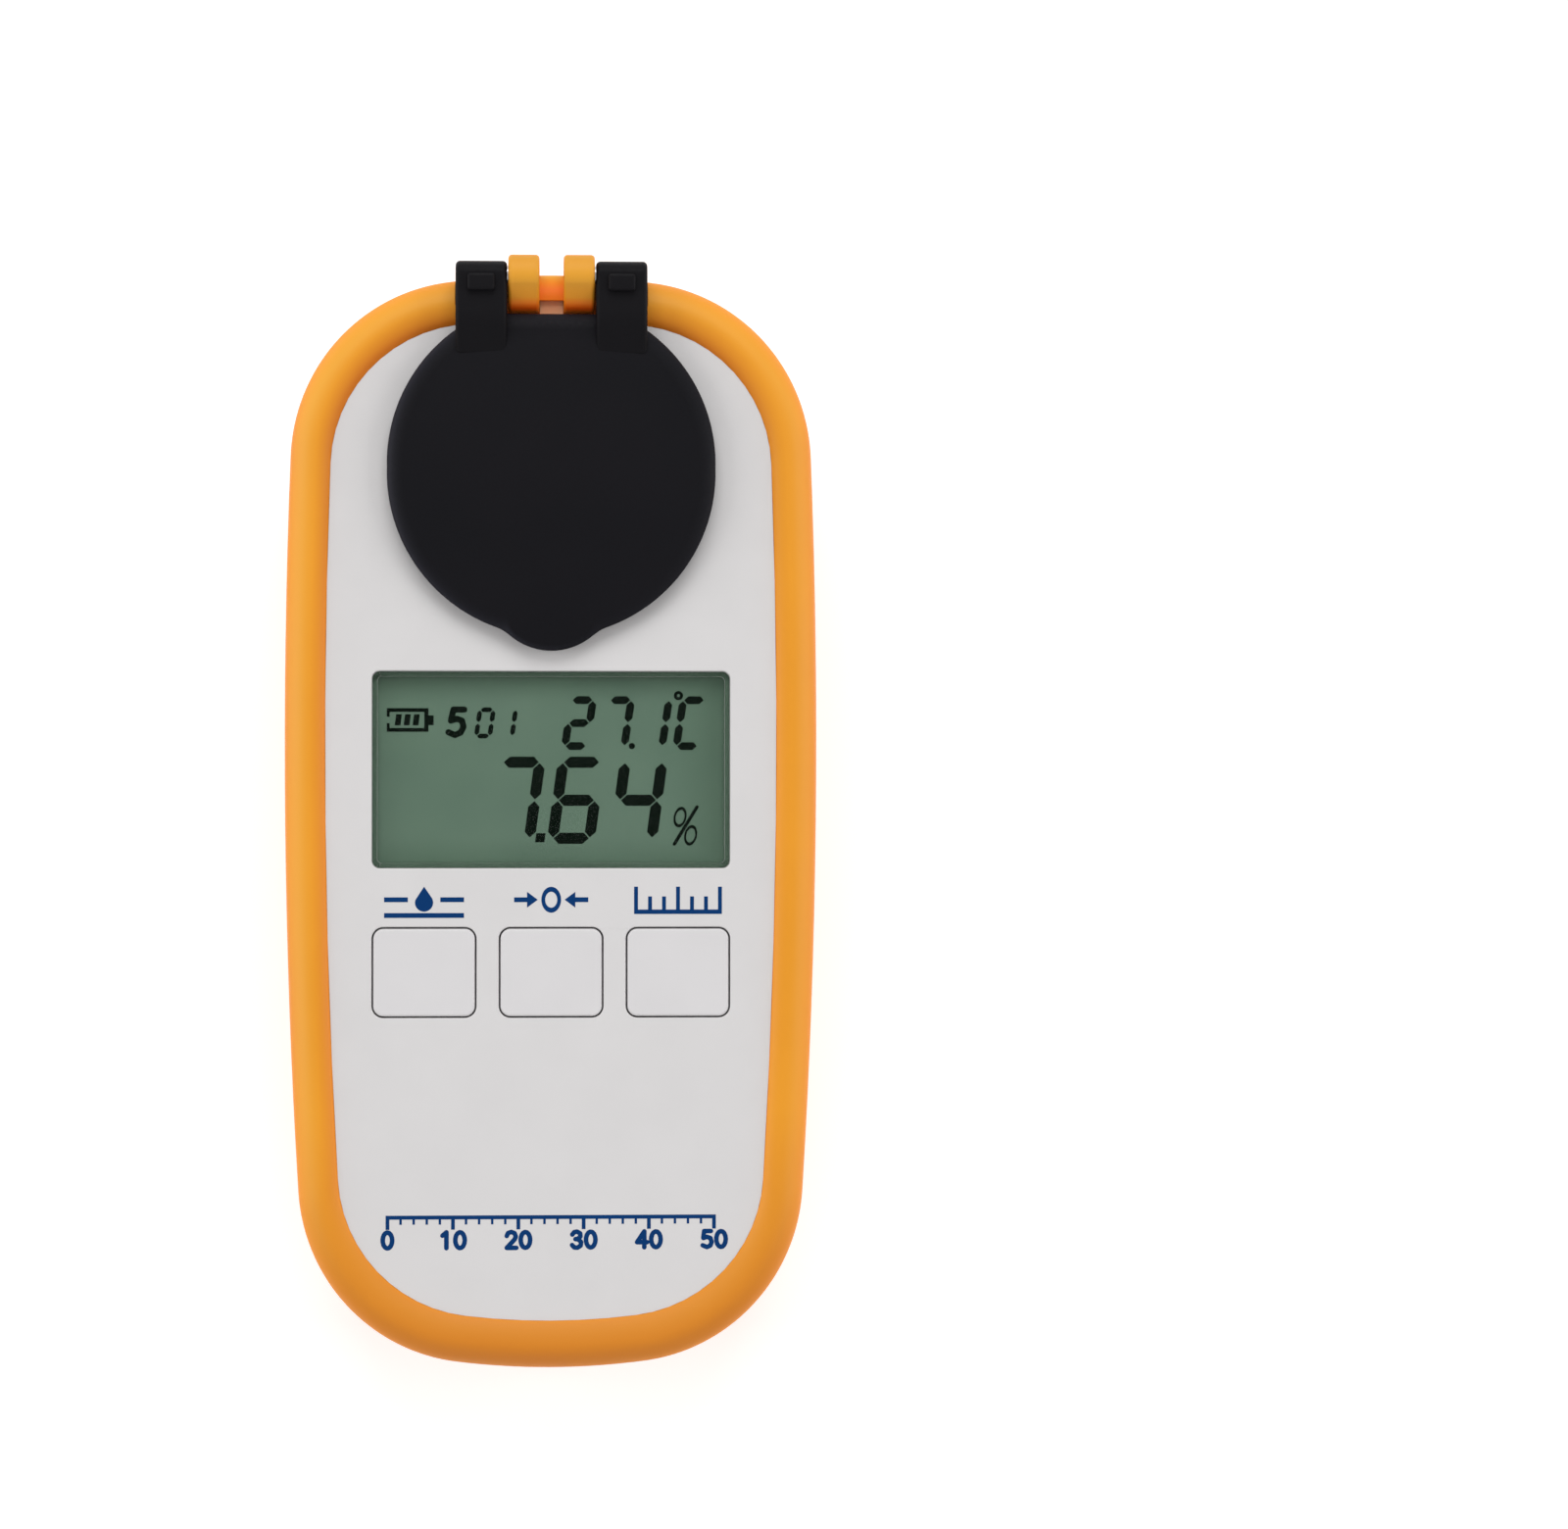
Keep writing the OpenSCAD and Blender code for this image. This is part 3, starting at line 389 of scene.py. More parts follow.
RUBBER, LUG_LIT_AND_SHADED = boot_lit_and_shaded_material(), lug_lit_and_shaded_material()
SHELL = moulded("shell_white", WHITE, 0.46, 0.012, relief=0.1, specular=0.35)
KEY = moulded("key_white", (220, 218, 219), 0.44, 0.012, relief=0.1, specular=0.35)
LID = moulded("lid_rubber", (14, 13, 16), 0.55, 0.08, relief=0.2, specular=0.08)
STEEL = moulded("steel", (200, 202, 206), 0.3, 0.05, 1.0, 900, 0.1, (1, 6, 1))
MATERIALS = {
    "steel": STEEL,
    "seal_rubber": moulded("seal_rubber", (44, 44, 46), 0.6, 0.1, relief=0.3),
    "foam": moulded("foam", (52, 52, 54), 0.9, 0.25, grain=2500, relief=0.8, specular=0.1),
    "window_glass": clear_material("window_glass", (0.98, 0.99, 0.98), 0.08, 1.45, 0.06),
    "tape": moulded("tape", (66, 88, 72), 0.6, 0.06),
    "frame_white": moulded("frame_white", (228, 228, 224), 0.5, 0.03),
    "lcd": lcd_material(),
    "switch_black": moulded("switch_black", (38, 38, 40), 0.45, 0.1),
    "circuit_board": moulded("circuit_board", (24, 92, 52), 0.35, 0.15, grain=1500, relief=0.2),
    "chip": moulded("chip", (34, 34, 36), 0.55, 0.1),
    "board_part": moulded("board_part", (150, 116, 76), 0.45, 0.12),
    "optical_glass": clear_material("optical_glass", (0.86, 0.93, 0.95), 0.03, 1.6, 1.0),
    "optics_black": moulded("optics_black", (30, 30, 32), 0.6, 0.1, relief=0.3),
    "led_amber": moulded("led_amber", (236, 168, 62), 0.2, 0.06, specular=0.5),
    "cable_film": moulded("cable_film", (186, 128, 60), 0.3, 0.1),
    "cell_wrap": cell_material(),
    "wire_red": moulded("wire_red", (186, 32, 30), 0.4, 0.08),
    "wire_black": moulded("wire_black", (30, 30, 32), 0.4, 0.1),
    "shell_white": SHELL,
    "key_white": KEY,
    "boot_rubber": RUBBER,
    "lid_rubber": LID,
}
INK = moulded("ink_blue", (0, 53, 108), 0.5, 0.06, relief=0.05, specular=0.1)
SEGMENT = moulded("lcd_segment", (0, 9, 3), 0.6, 0.1, relief=0.05, specular=0.05)


# ---- mesh helpers ----
def tidy_normals(mesh, angle):
    mesh.polygons.foreach_set("use_smooth", [True] * len(mesh.polygons))
    mesh.set_sharp_from_angle(angle=math.radians(angle))


def solid(name, verts, faces):
    """A mesh object in millimetres, not yet part of the frame."""
    mesh = bpy.data.meshes.new(name)
    mesh.from_pydata([tuple(v) for v in verts], [], faces)
    obj = bpy.data.objects.new(name, mesh)
    bpy.context.scene.collection.objects.link(obj)
    return obj


def finish_piece(obj, body, material, angle=35, replaced=()):
    """Scales a piece to metres, smooths it and hangs it on its body."""
    obj.data.transform(Matrix.Scale(MM, 4))
    tidy_normals(obj.data, angle)
    weigh = obj.modifiers.new("normals", "WEIGHTED_NORMAL")
    weigh.keep_sharp = True
    obj.data.materials.clear()
    obj.data.materials.append(material)
    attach(obj, body)
    if replaced:
        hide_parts(*replaced)
    return obj


def edit(obj, work):
    bm = bmesh.new()
    bm.from_mesh(obj.data)
    work(bm)
    bm.normal_update()
    bm.to_mesh(obj.data)
    bm.free()
    return obj


def outward(obj):
    """Turns all faces of a closed mesh outwards."""
    return edit(obj, lambda bm: bmesh.ops.recalc_face_normals(bm, faces=bm.faces))


def join(target, *others):
    """Adds the other objects' meshes to the target and removes them."""
    bm = bmesh.new()
    bm.from_mesh(target.data)
    for other in others:
        bm.from_mesh(other.data)
        bpy.data.objects.remove(other)
    bm.to_mesh(target.data)
    bm.free()
    return target


def boolean(obj, tool, operation="DIFFERENCE", crossing=False):
    """Cuts the tool from a mesh or adds it, with crossing where parts of either overlap."""
    change = obj.modifiers.new("cut", "BOOLEAN")
    change.operation = operation
    change.solver = "EXACT"
    change.use_self = crossing
    change.object = tool
    result = obj.evaluated_get(bpy.context.evaluated_depsgraph_get())
    mesh = bpy.data.meshes.new_from_object(result)
    obj.modifiers.clear()
    obj.data = mesh
    bpy.data.objects.remove(tool)
    return obj


def box(low, high):
    xs, ys, zs = zip(low, high)
    verts = [(x, y, z) for z in zs for y in ys for x in xs]
    faces = [(0, 2, 3, 1), (4, 5, 7, 6), (0, 1, 5, 4), (2, 6, 7, 3), (0, 4, 6, 2), (1, 3, 7, 5)]
    return solid("tool", verts, faces)


def prism(name, points, low, high, axis="z"):
    """A polygon drawn out along Z, or a (Y, Z) polygon drawn out along X."""
    n = len(points)
    if axis == "z":
        verts = [(x, y, h) for h in (low, high) for x, y in points]
    else:
        verts = [(h, y, z) for h in (low, high) for y, z in points]
    faces = [tuple(reversed(range(n))), tuple(range(n, 2 * n))]
    faces += [(k, (k + 1) % n, n + (k + 1) % n, n + k) for k in range(n)]
    return solid(name, verts, faces)


def lathe(name, profile, centre, steps=96):
    """A closed (radius, height) profile turned about the Z axis through centre."""
    n = len(profile)
    verts = []
    for k in range(steps):
        c, s = math.cos(math.tau * k / steps), math.sin(math.tau * k / steps)
        verts += [(centre[0] + r * c, centre[1] + r * s, h) for r, h in profile]
    faces = [(k * n + i, ((k + 1) % steps) * n + i,
              ((k + 1) % steps) * n + (i + 1) % n, k * n + (i + 1) % n)
             for k in range(steps) for i in range(n)]
    obj = solid(name, verts, faces)

    def close(bm):
        bmesh.ops.remove_doubles(bm, verts=bm.verts, dist=1e-5)
        bmesh.ops.recalc_face_normals(bm, faces=bm.faces)

    return edit(obj, close)


def soften(obj, width, steps=3, angle=30, pick=None):
    """Rounds the sharp edges that pick chooses, or all of them."""

    def work(bm):
        bm.normal_update()
        limit = math.radians(angle)
        edges = [e for e in bm.edges if len(e.link_faces) == 2
                 and e.calc_face_angle() > limit and (pick is None or pick(e))]
        bmesh.ops.bevel(bm, geom=edges, offset=width, segments=steps, profile=0.5,
                        affect="EDGES", clamp_overlap=True)

    return edit(obj, work)


def cad_copy(node, name):
    """A copy of a CAD node's mesh in millimetres with its seams welded and flats merged."""
    mesh = CAD[node].data.copy()
    mesh.transform(Matrix.Scale(1 / MM, 4))
    obj = bpy.data.objects.new(name, mesh)
    bpy.context.scene.collection.objects.link(obj)

    def weld(bm):
        bmesh.ops.remove_doubles(bm, verts=bm.verts, dist=1e-4)
        bmesh.ops.dissolve_limit(bm, angle_limit=math.radians(0.3), verts=bm.verts,
                                 edges=bm.edges)

    return edit(obj, weld)


# ---- outline of the body ----
def towards(degrees):
    return Vector((math.cos(math.radians(degrees)), math.sin(math.radians(degrees))))


def angle_of(v):
    return math.degrees(math.atan2(v[1], v[0]))


def touching(c1, r1, c2, r2, r, side):
    """Centre of a circle of radius r that touches two larger circles from inside."""
    d, a, b = (c2 - c1).length, r1 - r, r2 - r
    t = (a * a - b * b + d * d) / (2 * d)
    h = math.sqrt(a * a - t * t)
    e = (c2 - c1) / d
    return c1 + t * e + side * h * Vector((-e[1], e[0]))


def arcs(top, low=BOTTOM, r=CORNER_R):
    """The body's outline as (centre, radius, start angle, turn), anticlockwise."""
    s = Vector((BODY_W / 2 - SIDE_R, WIDEST_Y))
    kt, kb = Vector((0, top - CROWN_R)), Vector((0, low + CROWN_R))
    ct = touching(s, SIDE_R, kt, CROWN_R, r, 1)
    cb = touching(s, SIDE_R, kb, CROWN_R, r, -1)
    ft, fb = angle_of(ct - s), angle_of(cb - s)
    gt, gb = angle_of(ct - kt), angle_of(cb - kb)

    def flip(p):
        return Vector((-p[0], p[1]))

    return [(s, SIDE_R, fb, ft - fb), (ct, r, ft, gt - ft), (kt, CROWN_R, gt, 180 - 2 * gt),
            (flip(ct), r, 180 - gt, gt - ft), (flip(s), SIDE_R, 180 - ft, ft - fb),
            (flip(cb), r, 180 - fb, fb - gb), (kb, CROWN_R, 180 - gb, 180 + 2 * gb),
            (cb, r, gb, fb - gb)]


def trace(arc_list, inset):
    """Points along the arcs, set in by a distance, closer together round the corners."""
    points = []
    for centre, radius, start, turn in arc_list:
        n = 16 if radius > CROWN_R - 1 else 40
        points += [centre + (radius - inset) * towards(start + turn * k / n) for k in range(n)]
    return points


def outline(inset, drop=0.0):
    """The body's outline set in, with its hinge end lower by drop."""
    return trace(arcs(TOP - drop), inset)


def opening():
    """The opening in the rim, set further in at the two ends, just clear of the panel."""
    return trace(arcs(OPEN_TOP + RIM_W, OPEN_LOW - RIM_W, OPEN_R), RIM_W + 0.045)


def ease(z, deep=0.0):
    """How far the hinge end draws in near the back, for a skin that lies deep inside."""
    u = min(1, max(0, (BACK + EASE_H - z) / (EASE_H - deep)))
    return EASE_L * (1 - math.sqrt(1 - u * u))


def round_back(z, deep=0.0):
    """How far the rounded back edge draws in."""
    r, u = BACK_ROUND - deep, max(0, BACK + BACK_ROUND - z)
    return r - math.sqrt(max(0, r * r - min(u, r) ** 2))


def bulge(z):
    """How far the wall draws in away from its widest height."""
    return (z - BULGE_Z) ** 2 / (2 * BULGE_R)


def skin(name, levels):
    """A closed surface through outlines given as (z, points), in order."""
    verts, faces = [], []
    for z, points in levels:
        verts += [(p[0], p[1], z) for p in points]
    n = len(levels[0][1])
    for i in range(len(levels) - 1):
        faces += [(i * n + k, i * n + (k + 1) % n, (i + 1) * n + (k + 1) % n, (i + 1) * n + k)
                  for k in range(n)]
    last = (len(levels) - 1) * n
    faces += [tuple(reversed(range(n))), tuple(last + k for k in range(n))]
    return solid(name, verts, faces)


# ---- boot ----
def boot_levels():
    """The boot's section from the middle of its back, over the rim and back inside."""
    levels = [(BACK, outline(bulge(BACK) + BACK_ROUND + 0.5, EASE_L))]

    def level(z, inset, drop=0.0):
        levels.append((z, outline(inset, drop)))

    for k in range(11):
        z = BACK + BACK_ROUND * (1 - math.cos(math.radians(9 * k)))
        level(z, bulge(z) + round_back(z), ease(z))
    z = BACK + BACK_ROUND
    while z < CREST - FRONT_ROUND - 1:
        z += 0.9
        level(z, bulge(z), ease(z))
    for k in range(11):
        a = math.radians(9 * k)
        z = CREST - FRONT_ROUND * (1 - math.sin(a))
        level(z, bulge(z) + FRONT_ROUND * (1 - math.cos(a)))
    crest, inner = levels[-1][1], opening()
    end = math.radians(64)
    for k in range(1, 9):
        a = end * k / 8
        out = math.sin(a) / math.sin(end)
        fall = (1 - math.cos(a)) / (1 - math.cos(end))
        levels.append((CREST - (CREST - PANEL) * fall,
                       [p.lerp(q, out) for p, q in zip(crest, inner)]))
    levels += [(PANEL - 0.4, inner), (LIP_Z, inner)]
    level(LIP_Z, BOOT_SIDE)
    level(SPLIT_Z, BOOT_SIDE)
    deep = BOOT_BACK
    r = BACK_ROUND - deep
    low = BACK + deep
    for z in (BACK + EASE_H, BACK + 10.6, BACK + 8, low + r):
        level(z, BOOT_SIDE, ease(z, deep))
    for a in (67, 45, 22, 0):
        z = low + r * (1 - math.cos(math.radians(a)))
        level(z, BOOT_SIDE + round_back(z, deep), ease(z, deep))
    return levels


def circle_yz(radius, start, stop, steps):
    """An arc about the lid hinge."""
    return [(HINGE_Y + radius * math.cos(math.radians(start + (stop - start) * k / steps)),
             HINGE_Z + radius * math.sin(math.radians(start + (stop - start) * k / steps)))
            for k in range(steps + 1)]


boot = skin("boot_skin", boot_levels())
boolean(boot, box((DOOR.low.x - DOOR_GAP, DOOR.low.y - DOOR_GAP, BACK - 0.5),
                  (DOOR.high.x + DOOR_GAP, DOOR.high.y + DOOR_GAP, BACK + BOOT_BACK + 0.5)))
for side in (-1, 1):
    ends = sorted((side * (LUG_OUT + 0.125), side * (ARM_OUT + 0.125)))
    boolean(boot, prism("tool", circle_yz(RECESS_R, 0, 357, 119), *ends, axis="x"))
boolean(boot, box((-LUG_IN, OPEN_TOP - 0.5, LIP_Z - 0.5), (LUG_IN, NOTCH_Y, CREST + 0.5)))
FOOT = [(0, 0), (1.8, 0), (2.05, 0.07), (2.16, 0.2), (2.2, 0.4), (2.2, 1.9), (0, 1.9)]
join(boot, *[lathe("foot", FOOT, spot, 48) for spot in FEET])
finish_piece(boot, "base", RUBBER, 40, ["boot"])

LUG = ([(LID_FLAT + 0.1, LIP_Z + 0.3), (LID_FLAT + 0.1, PANEL + 0.4), (LID_FLAT + 0.4, 27.5),
        (LID_FLAT + 1.1, 28.6)]
       + circle_yz(KNUCKLE_R, 125, 0, 24)
       + [(60.29, 27.6), (58.95, 21.25), (57.6, 20.45), (57.4, LIP_Z + 0.3)])
for side, name in ((-1, "lug_left"), (1, "lug_right")):
    lug = prism(name, LUG, *sorted((side * LUG_IN, side * LUG_OUT)), axis="x")
    outward(lug)
    soften(lug, 0.4, 4, 60, lambda e: min(v.co.z for v in e.verts) > PANEL + 0.1)
    finish_piece(lug, "base", LUG_LIT_AND_SHADED, 40, ["boot"])


# ---- lid ----
def lid_edge(theta):
    """Distance from the lid's centre to its edge at an angle, and its edge band's width."""
    c, s = math.cos(theta), math.sin(theta)
    # disc: two circles half a millimetre up and down
    disc = 0.5 * abs(s) + math.sqrt(LID_R ** 2 - 0.25 * c * c)
    # tab: far side of its circle, where the ray meets it
    off = TAB_Y - DISH_Y
    inside = TAB_R ** 2 - (off * c) ** 2
    tab = off * s + math.sqrt(inside) if inside > 0 and s < 0 else 0
    blend = 0.5
    h = max(blend - abs(disc - tab), 0) / blend
    reach = max(disc, tab) + h * h * blend / 4
    if s > 0:
        reach = min(reach, (LID_FLAT - DISH_Y) / s)
    share = min(1, max(0, (tab - disc + 0.3) / 0.9))
    return reach, 1.8 - 1.1 * share * share * (3 - 2 * share)


def lid_disc():
    """A dome with a soft edge band, flat below, with a round pocket under it."""
    steps = 288
    inner = (0.12, 0.25, 0.4, 0.55, 0.68, 0.8, 0.88)
    rings = [("top", f / inner[-1]) for f in inner]
    rings += [("edge", k) for k in range(13)]
    verts = [(0, DISH_Y, LID_TOP - (DISH_Y - DOME_Y) ** 2 / (2 * DOME_R))]
    for kind, value in rings:
        for k in range(steps):
            theta = math.tau * k / steps
            c, s, (reach, band) = math.cos(theta), math.sin(theta), lid_edge(theta)
            if kind == "top":
                r, fall = (reach - band) * value, 0
            else:
                a = math.radians(90 * value / 12)
                r, fall = reach - band * (1 - math.sin(a)), 1 - math.cos(a)
            x, y = r * c, DISH_Y + r * s
            z = LID_TOP - (x * x + (y - DOME_Y) ** 2) / (2 * DOME_R)
            z -= fall * 0.5 * (z - LID_Z)
            verts.append((x, y, z))
    for inset, z in ((0, LID_Z + 0.25), (0.08, LID_Z + 0.08), (0.25, LID_Z)):
        for k in range(steps):
            theta = math.tau * k / steps
            r = lid_edge(theta)[0] - inset
            verts.append((r * math.cos(theta), DISH_Y + r * math.sin(theta), z))
    for r, z in ((POCKET_R, LID_Z), (POCKET_R - 0.1, LID_Z + 0.1),
                 (POCKET_R - 0.1, POCKET_Z - 0.1), (POCKET_R - 0.2, POCKET_Z)):
        for k in range(steps):
            theta = math.tau * k / steps
            verts.append((r * math.cos(theta), DISH_Y + r * math.sin(theta), z))
    verts.append((0, DISH_Y, POCKET_Z))
    n_rings = (len(verts) - 2) // steps
    faces = [(0, 1 + k, 1 + (k + 1) % steps) for k in range(steps)]
    for i in range(n_rings - 1):
        a, b = 1 + i * steps, 1 + (i + 1) * steps
        faces += [(a + k, b + k, b + (k + 1) % steps, a + (k + 1) % steps) for k in range(steps)]
    a, end = 1 + (n_rings - 1) * steps, len(verts) - 1
    faces += [(a + k, end, a + (k + 1) % steps) for k in range(steps)]
    return solid("lid_disc", verts, faces)


finish_piece(lid_disc(), "lid", dome_painted_sheen_material(), 50, ["lid"])

ARM = ([(49.5, 27.4), (54.0, LID_Z), (55.1, LID_Z), (58.3, 25.25), (58.7, 25.5), (59.5, 27.75)]
       + [(HINGE_Y + (y - HINGE_Y) * 0.76, z) for y, z in circle_yz(HEAD_R, 0, 90, 16)]
       + [(54.2, 30.3), (53.2, 30.24), (52.3, 30.0), (51.3, 29.6), (49.5, 28.95)])
STUB_HALF = 1.45
for side, tag in ((-1, "left"), (1, "right")):
    arm = prism("lid_arm_" + tag, ARM, *sorted((side * ARM_IN, side * ARM_OUT)), axis="x")
    outward(arm)
    soften(arm, 0.55, 5, 40)
    finish_piece(arm, "lid", LID, 40, ["lid"])
    mid = side * (ARM_IN + ARM_OUT) / 2
    stub = box((mid - STUB_HALF, HINGE_Y - 2.0, HINGE_Z + HEAD_R - 0.4),
               (mid + STUB_HALF, HINGE_Y - 0.2, COVER.high.z))
    stub.name = stub.data.name = "lid_stub_" + tag
    soften(stub, 0.3, 3)
    finish_piece(stub, "lid", LID, 40, ["lid"])


# ---- front panel, keys and door, with their edges rounded ----
def on_plane(height, inside=None):
    """Chooses edges at one height, and of those only the ones that inside accepts."""
    def pick(edge):
        flat = all(abs(v.co.z - height) < 0.002 for v in edge.verts)
        return flat and (inside is None or inside(edge))
    return pick


def near(y, reach):
    """Chooses edges round the panel's openings within reach of a line across it."""
    def pick(edge):
        return all(abs(v.co.x) < WINDOW.half.x + 0.3 and abs(v.co.y - y) < reach
                   for v in edge.verts)
    return pick


panel = cad_copy("front_shell", "front_panel")
soften(panel, 0.15, 3, 40, on_plane(PANEL, near(WINDOW_Y, WINDOW.half.y + 0.4)))
soften(panel, 0.14, 2, 40, on_plane(PANEL, near(KEY_Y, 6)))
finish_piece(panel, "base", panel_material(), 35, ["front_shell"])
for tag in KEY_TAGS:
    key = soften(cad_copy("key_" + tag, "keycap_" + tag), 0.25, 4, 40, on_plane(PANEL))
    finish_piece(key, tag + "_key", KEY, 35, ["key_" + tag])
door = soften(cad_copy("battery_door", "door_panel"), 0.2, 3, 40, on_plane(BACK + 0.1))
finish_piece(door, "door", SHELL, 35, ["battery_door"])


# ---- display segments ----
def sheet(name, shapes, z, thick, material):
    """Flat marks, merged where they overlap: each shape is a closed list of points."""
    first, *rest = [outward(prism(name, shape, z, z + thick)) for shape in shapes]
    boolean(first, join(*rest), "UNION", crossing=True)
    edit(first, lambda bm: bmesh.ops.dissolve_limit(bm, angle_limit=math.radians(1),
                                                    verts=bm.verts, edges=bm.edges))
    first.name = first.data.name = name
    finish_piece(first, "base", material, 30)


SEGMENTS = {"0": "abcdef", "1": "bc", "2": "abged", "4": "fgbc", "5": "afgcd", "6": "afgedc",
            "7": "abc", "C": "afed"}


def digit(text, x, low, high, width, bar, lean):
    """Seven-segment figure on centre lines from x to x + width at its foot, leaning right."""
    mid, half, gap = (low + high) / 2, bar / 2, 0.07 + bar * 0.03
    right = x + width
    ends = {"a": ((x, high), (right, high)), "b": ((right, high), (right, mid)),
            "c": ((right, mid), (right, low)), "d": ((x, low), (right, low)),
            "e": ((x, mid), (x, low)), "f": ((x, high), (x, mid)), "g": ((x, mid), (right, mid))}
    shapes = []
    for letter in SEGMENTS[text]:
        (ax, ay), (bx, by) = ends[letter]
        if ay == by:
            a, b = ax + gap, bx - gap
            bars = [(a, ay), (a + half, ay - half), (b - half, ay - half), (b, ay),
                    (b - half, ay + half), (a + half, ay + half)]
        else:
            a, b = ay - gap, by + gap
            bars = [(ax, a), (ax - half, a - half), (ax - half, b + half), (ax, b),
                    (ax + half, b + half), (ax + half, a - half)]
        shapes.append([(px + (py - low) * lean, py) for px, py in bars])
    return shapes


def slab(left, right, low, high, lean=0.0):
    return [(x + (y - low) * lean, y)
            for x, y in ((left, low), (right, low), (right, high), (left, high))]


def disc(x, y, r, steps=24):
    return [(x + r * math.cos(math.tau * k / steps), y + r * math.sin(math.tau * k / steps))
            for k in range(steps)]


def ring(x, y, r, inner, steps=24):
    """A ring as separate quads."""
    out, inside = disc(x, y, r, steps), disc(x, y, inner, steps)
    return [[out[k], out[(k + 1) % steps], inside[(k + 1) % steps], inside[k]]
            for k in range(steps)]


def stroke(points, width):
    """A bent line as overlapping bars with round joints."""
    shapes = []
    for (ax, ay), (bx, by) in zip(points, points[1:]):
        d = math.hypot(bx - ax, by - ay)
        nx, ny = -(by - ay) / d * width / 2, (bx - ax) / d * width / 2
        shapes.append([(ax - nx, ay - ny), (bx - nx, by - ny), (bx + nx, by + ny),
                       (ax + nx, ay + ny)])
    return shapes + [disc(x, y, width / 2, 12) for x, y in points]


STROKES = {
    "0": [[(0.5 + 0.42 * math.cos(math.radians(a)), 0.75 + 0.7 * math.sin(math.radians(a)))
           for a in range(0, 361, 24)]],
    "1": [[(0.2, 1.15), (0.55, 1.45), (0.55, 0.05)]],
    "2": [[(0.1, 1.1), (0.22, 1.36), (0.5, 1.46), (0.8, 1.34), (0.9, 1.05), (0.8, 0.8),
           (0.1, 0.05), (0.95, 0.05)]],
    "3": [[(0.12, 1.2), (0.3, 1.42), (0.55, 1.46), (0.82, 1.3), (0.84, 1.02), (0.62, 0.82),
           (0.4, 0.8), (0.66, 0.76), (0.9, 0.55), (0.86, 0.22), (0.58, 0.04), (0.3, 0.06),
           (0.1, 0.28)]],
    "4": [[(0.72, 0.05), (0.72, 1.46), (0.08, 0.5), (0.98, 0.5)]],
    "5": [[(0.85, 1.46), (0.25, 1.46), (0.18, 0.84), (0.5, 0.95), (0.8, 0.84), (0.92, 0.5),
           (0.8, 0.18), (0.5, 0.04), (0.12, 0.2)]],
}


def number(text, x, y, size, width, lean=0.0):
    """Digits centred on x with their foot at y."""
    shapes = []
    pitch = 1.25 * size
    left = x - (len(text) * pitch - 0.25 * size) / 2
    for k, figure in enumerate(text):
        for path in STROKES[figure]:
            shapes += stroke([(left + k * pitch + (px + py * lean) * size, y + py * size)
                              for px, py in path], width)
    return shapes


def placed(shapes, x, y):
    return [[(px + x, py + y) for px, py in shape] for shape in shapes]


marks = []
# battery sign: outline with an open left end, nub and three charge bars
marks += [slab(-17.8, -13.3, 6.28, 6.68), slab(-17.8, -13.3, 4.13, 4.53),
          slab(-17.8, -17.5, 5.75, 6.28), slab(-17.8, -17.5, 4.53, 5.05),
          slab(-13.75, -13.3, 4.53, 6.28), slab(-13.3, -12.74, 4.85, 5.9)]
marks += [slab(x, x + 0.62, 4.82, 6.02, 0.13) for x in (-16.95, -15.98, -15.01)]
marks += number("5", -10.45, 3.69, 1.95, 0.66, 0.12)
# foot, head, width, bar and lean of the temperature, the reading and the small 01
SMALL, BIG = (2.59, 7.58, 2.3, 0.84, 0.15), (-7.42, 0.83, 4.0, 1.2, 0.135)
STEP = (3.67, 6.52, 1.45, 0.5, 0.14)
for text, x, shape in (("0", -8.12, STEP), ("1", -5.71, STEP), ("2", 1.48, SMALL),
                       ("7", 5.62, SMALL), ("1", 9.72, SMALL), ("C", 13.58, SMALL),
                       ("7", -6.36, BIG), ("6", 0.16, BIG), ("4", 6.9, BIG)):
    marks += digit(text, x, *shape)
marks += [disc(8.74, 2.6, 0.34, 12), slab(-1.75, -0.75, -7.85, -6.88, 0.13)]
marks += ring(13.8, 8.08, 0.5, 0.17, 20)
# per cent sign: a slanted bar between two leaning ovals
marks += stroke([(13.36, -8.05), (15.82, -4.02)], 0.36)
for x, y in ((13.98, -5.12), (15.13, -7.1)):
    marks += [[(x + px * 0.62 + py * 0.14, y + py) for px, py in q] for q in ring(0, 0, 1.12, 0.78)]
sheet("lcd_segments", placed(marks, 0, WINDOW_Y), LCD_TOP + 0.01, 0.02, SEGMENT)

# ---- printed signs on the panel ----
LABEL_Y, PRINT_Z, PRINT_T = KEY_Y + 7.85, PANEL - 0.01, 0.025
drop = [(0, 1.42)] + [(0.98 * math.cos(math.radians(a)), -0.3 + 0.98 * math.sin(math.radians(a)))
                      for a in range(28, -209, -14)]
read_sign = [drop, slab(-4.3, -1.75, -0.25, 0.27), slab(1.75, 4.3, -0.25, 0.27),
             slab(-4.3, 4.3, -1.95, -1.43)]
zero_sign = [[(x * 0.76, y) for x, y in q] for q in ring(0, 0, 1.4, 0.86, 32)]
for way in (-1, 1):
    zero_sign += [slab(*sorted((way * 4.0, way * 2.5)), -0.26, 0.26),
                  [(way * 1.45, 0), (way * 2.6, 0.85), (way * 2.6, -0.85)][::way]]
scale_sign = [slab(-4.75, 4.75, -1.55, -1.07)]
for k in range(7):
    x = (k / 3 - 1) * 4.54
    scale_sign.append(slab(x - 0.21, x + 0.21, -1.1, 1.4 if k % 3 == 0 else 0.35))
signs = (placed(read_sign, KEY_X[0], LABEL_Y) + placed(zero_sign, KEY_X[1], LABEL_Y)
         + placed(scale_sign, KEY_X[2], LABEL_Y))
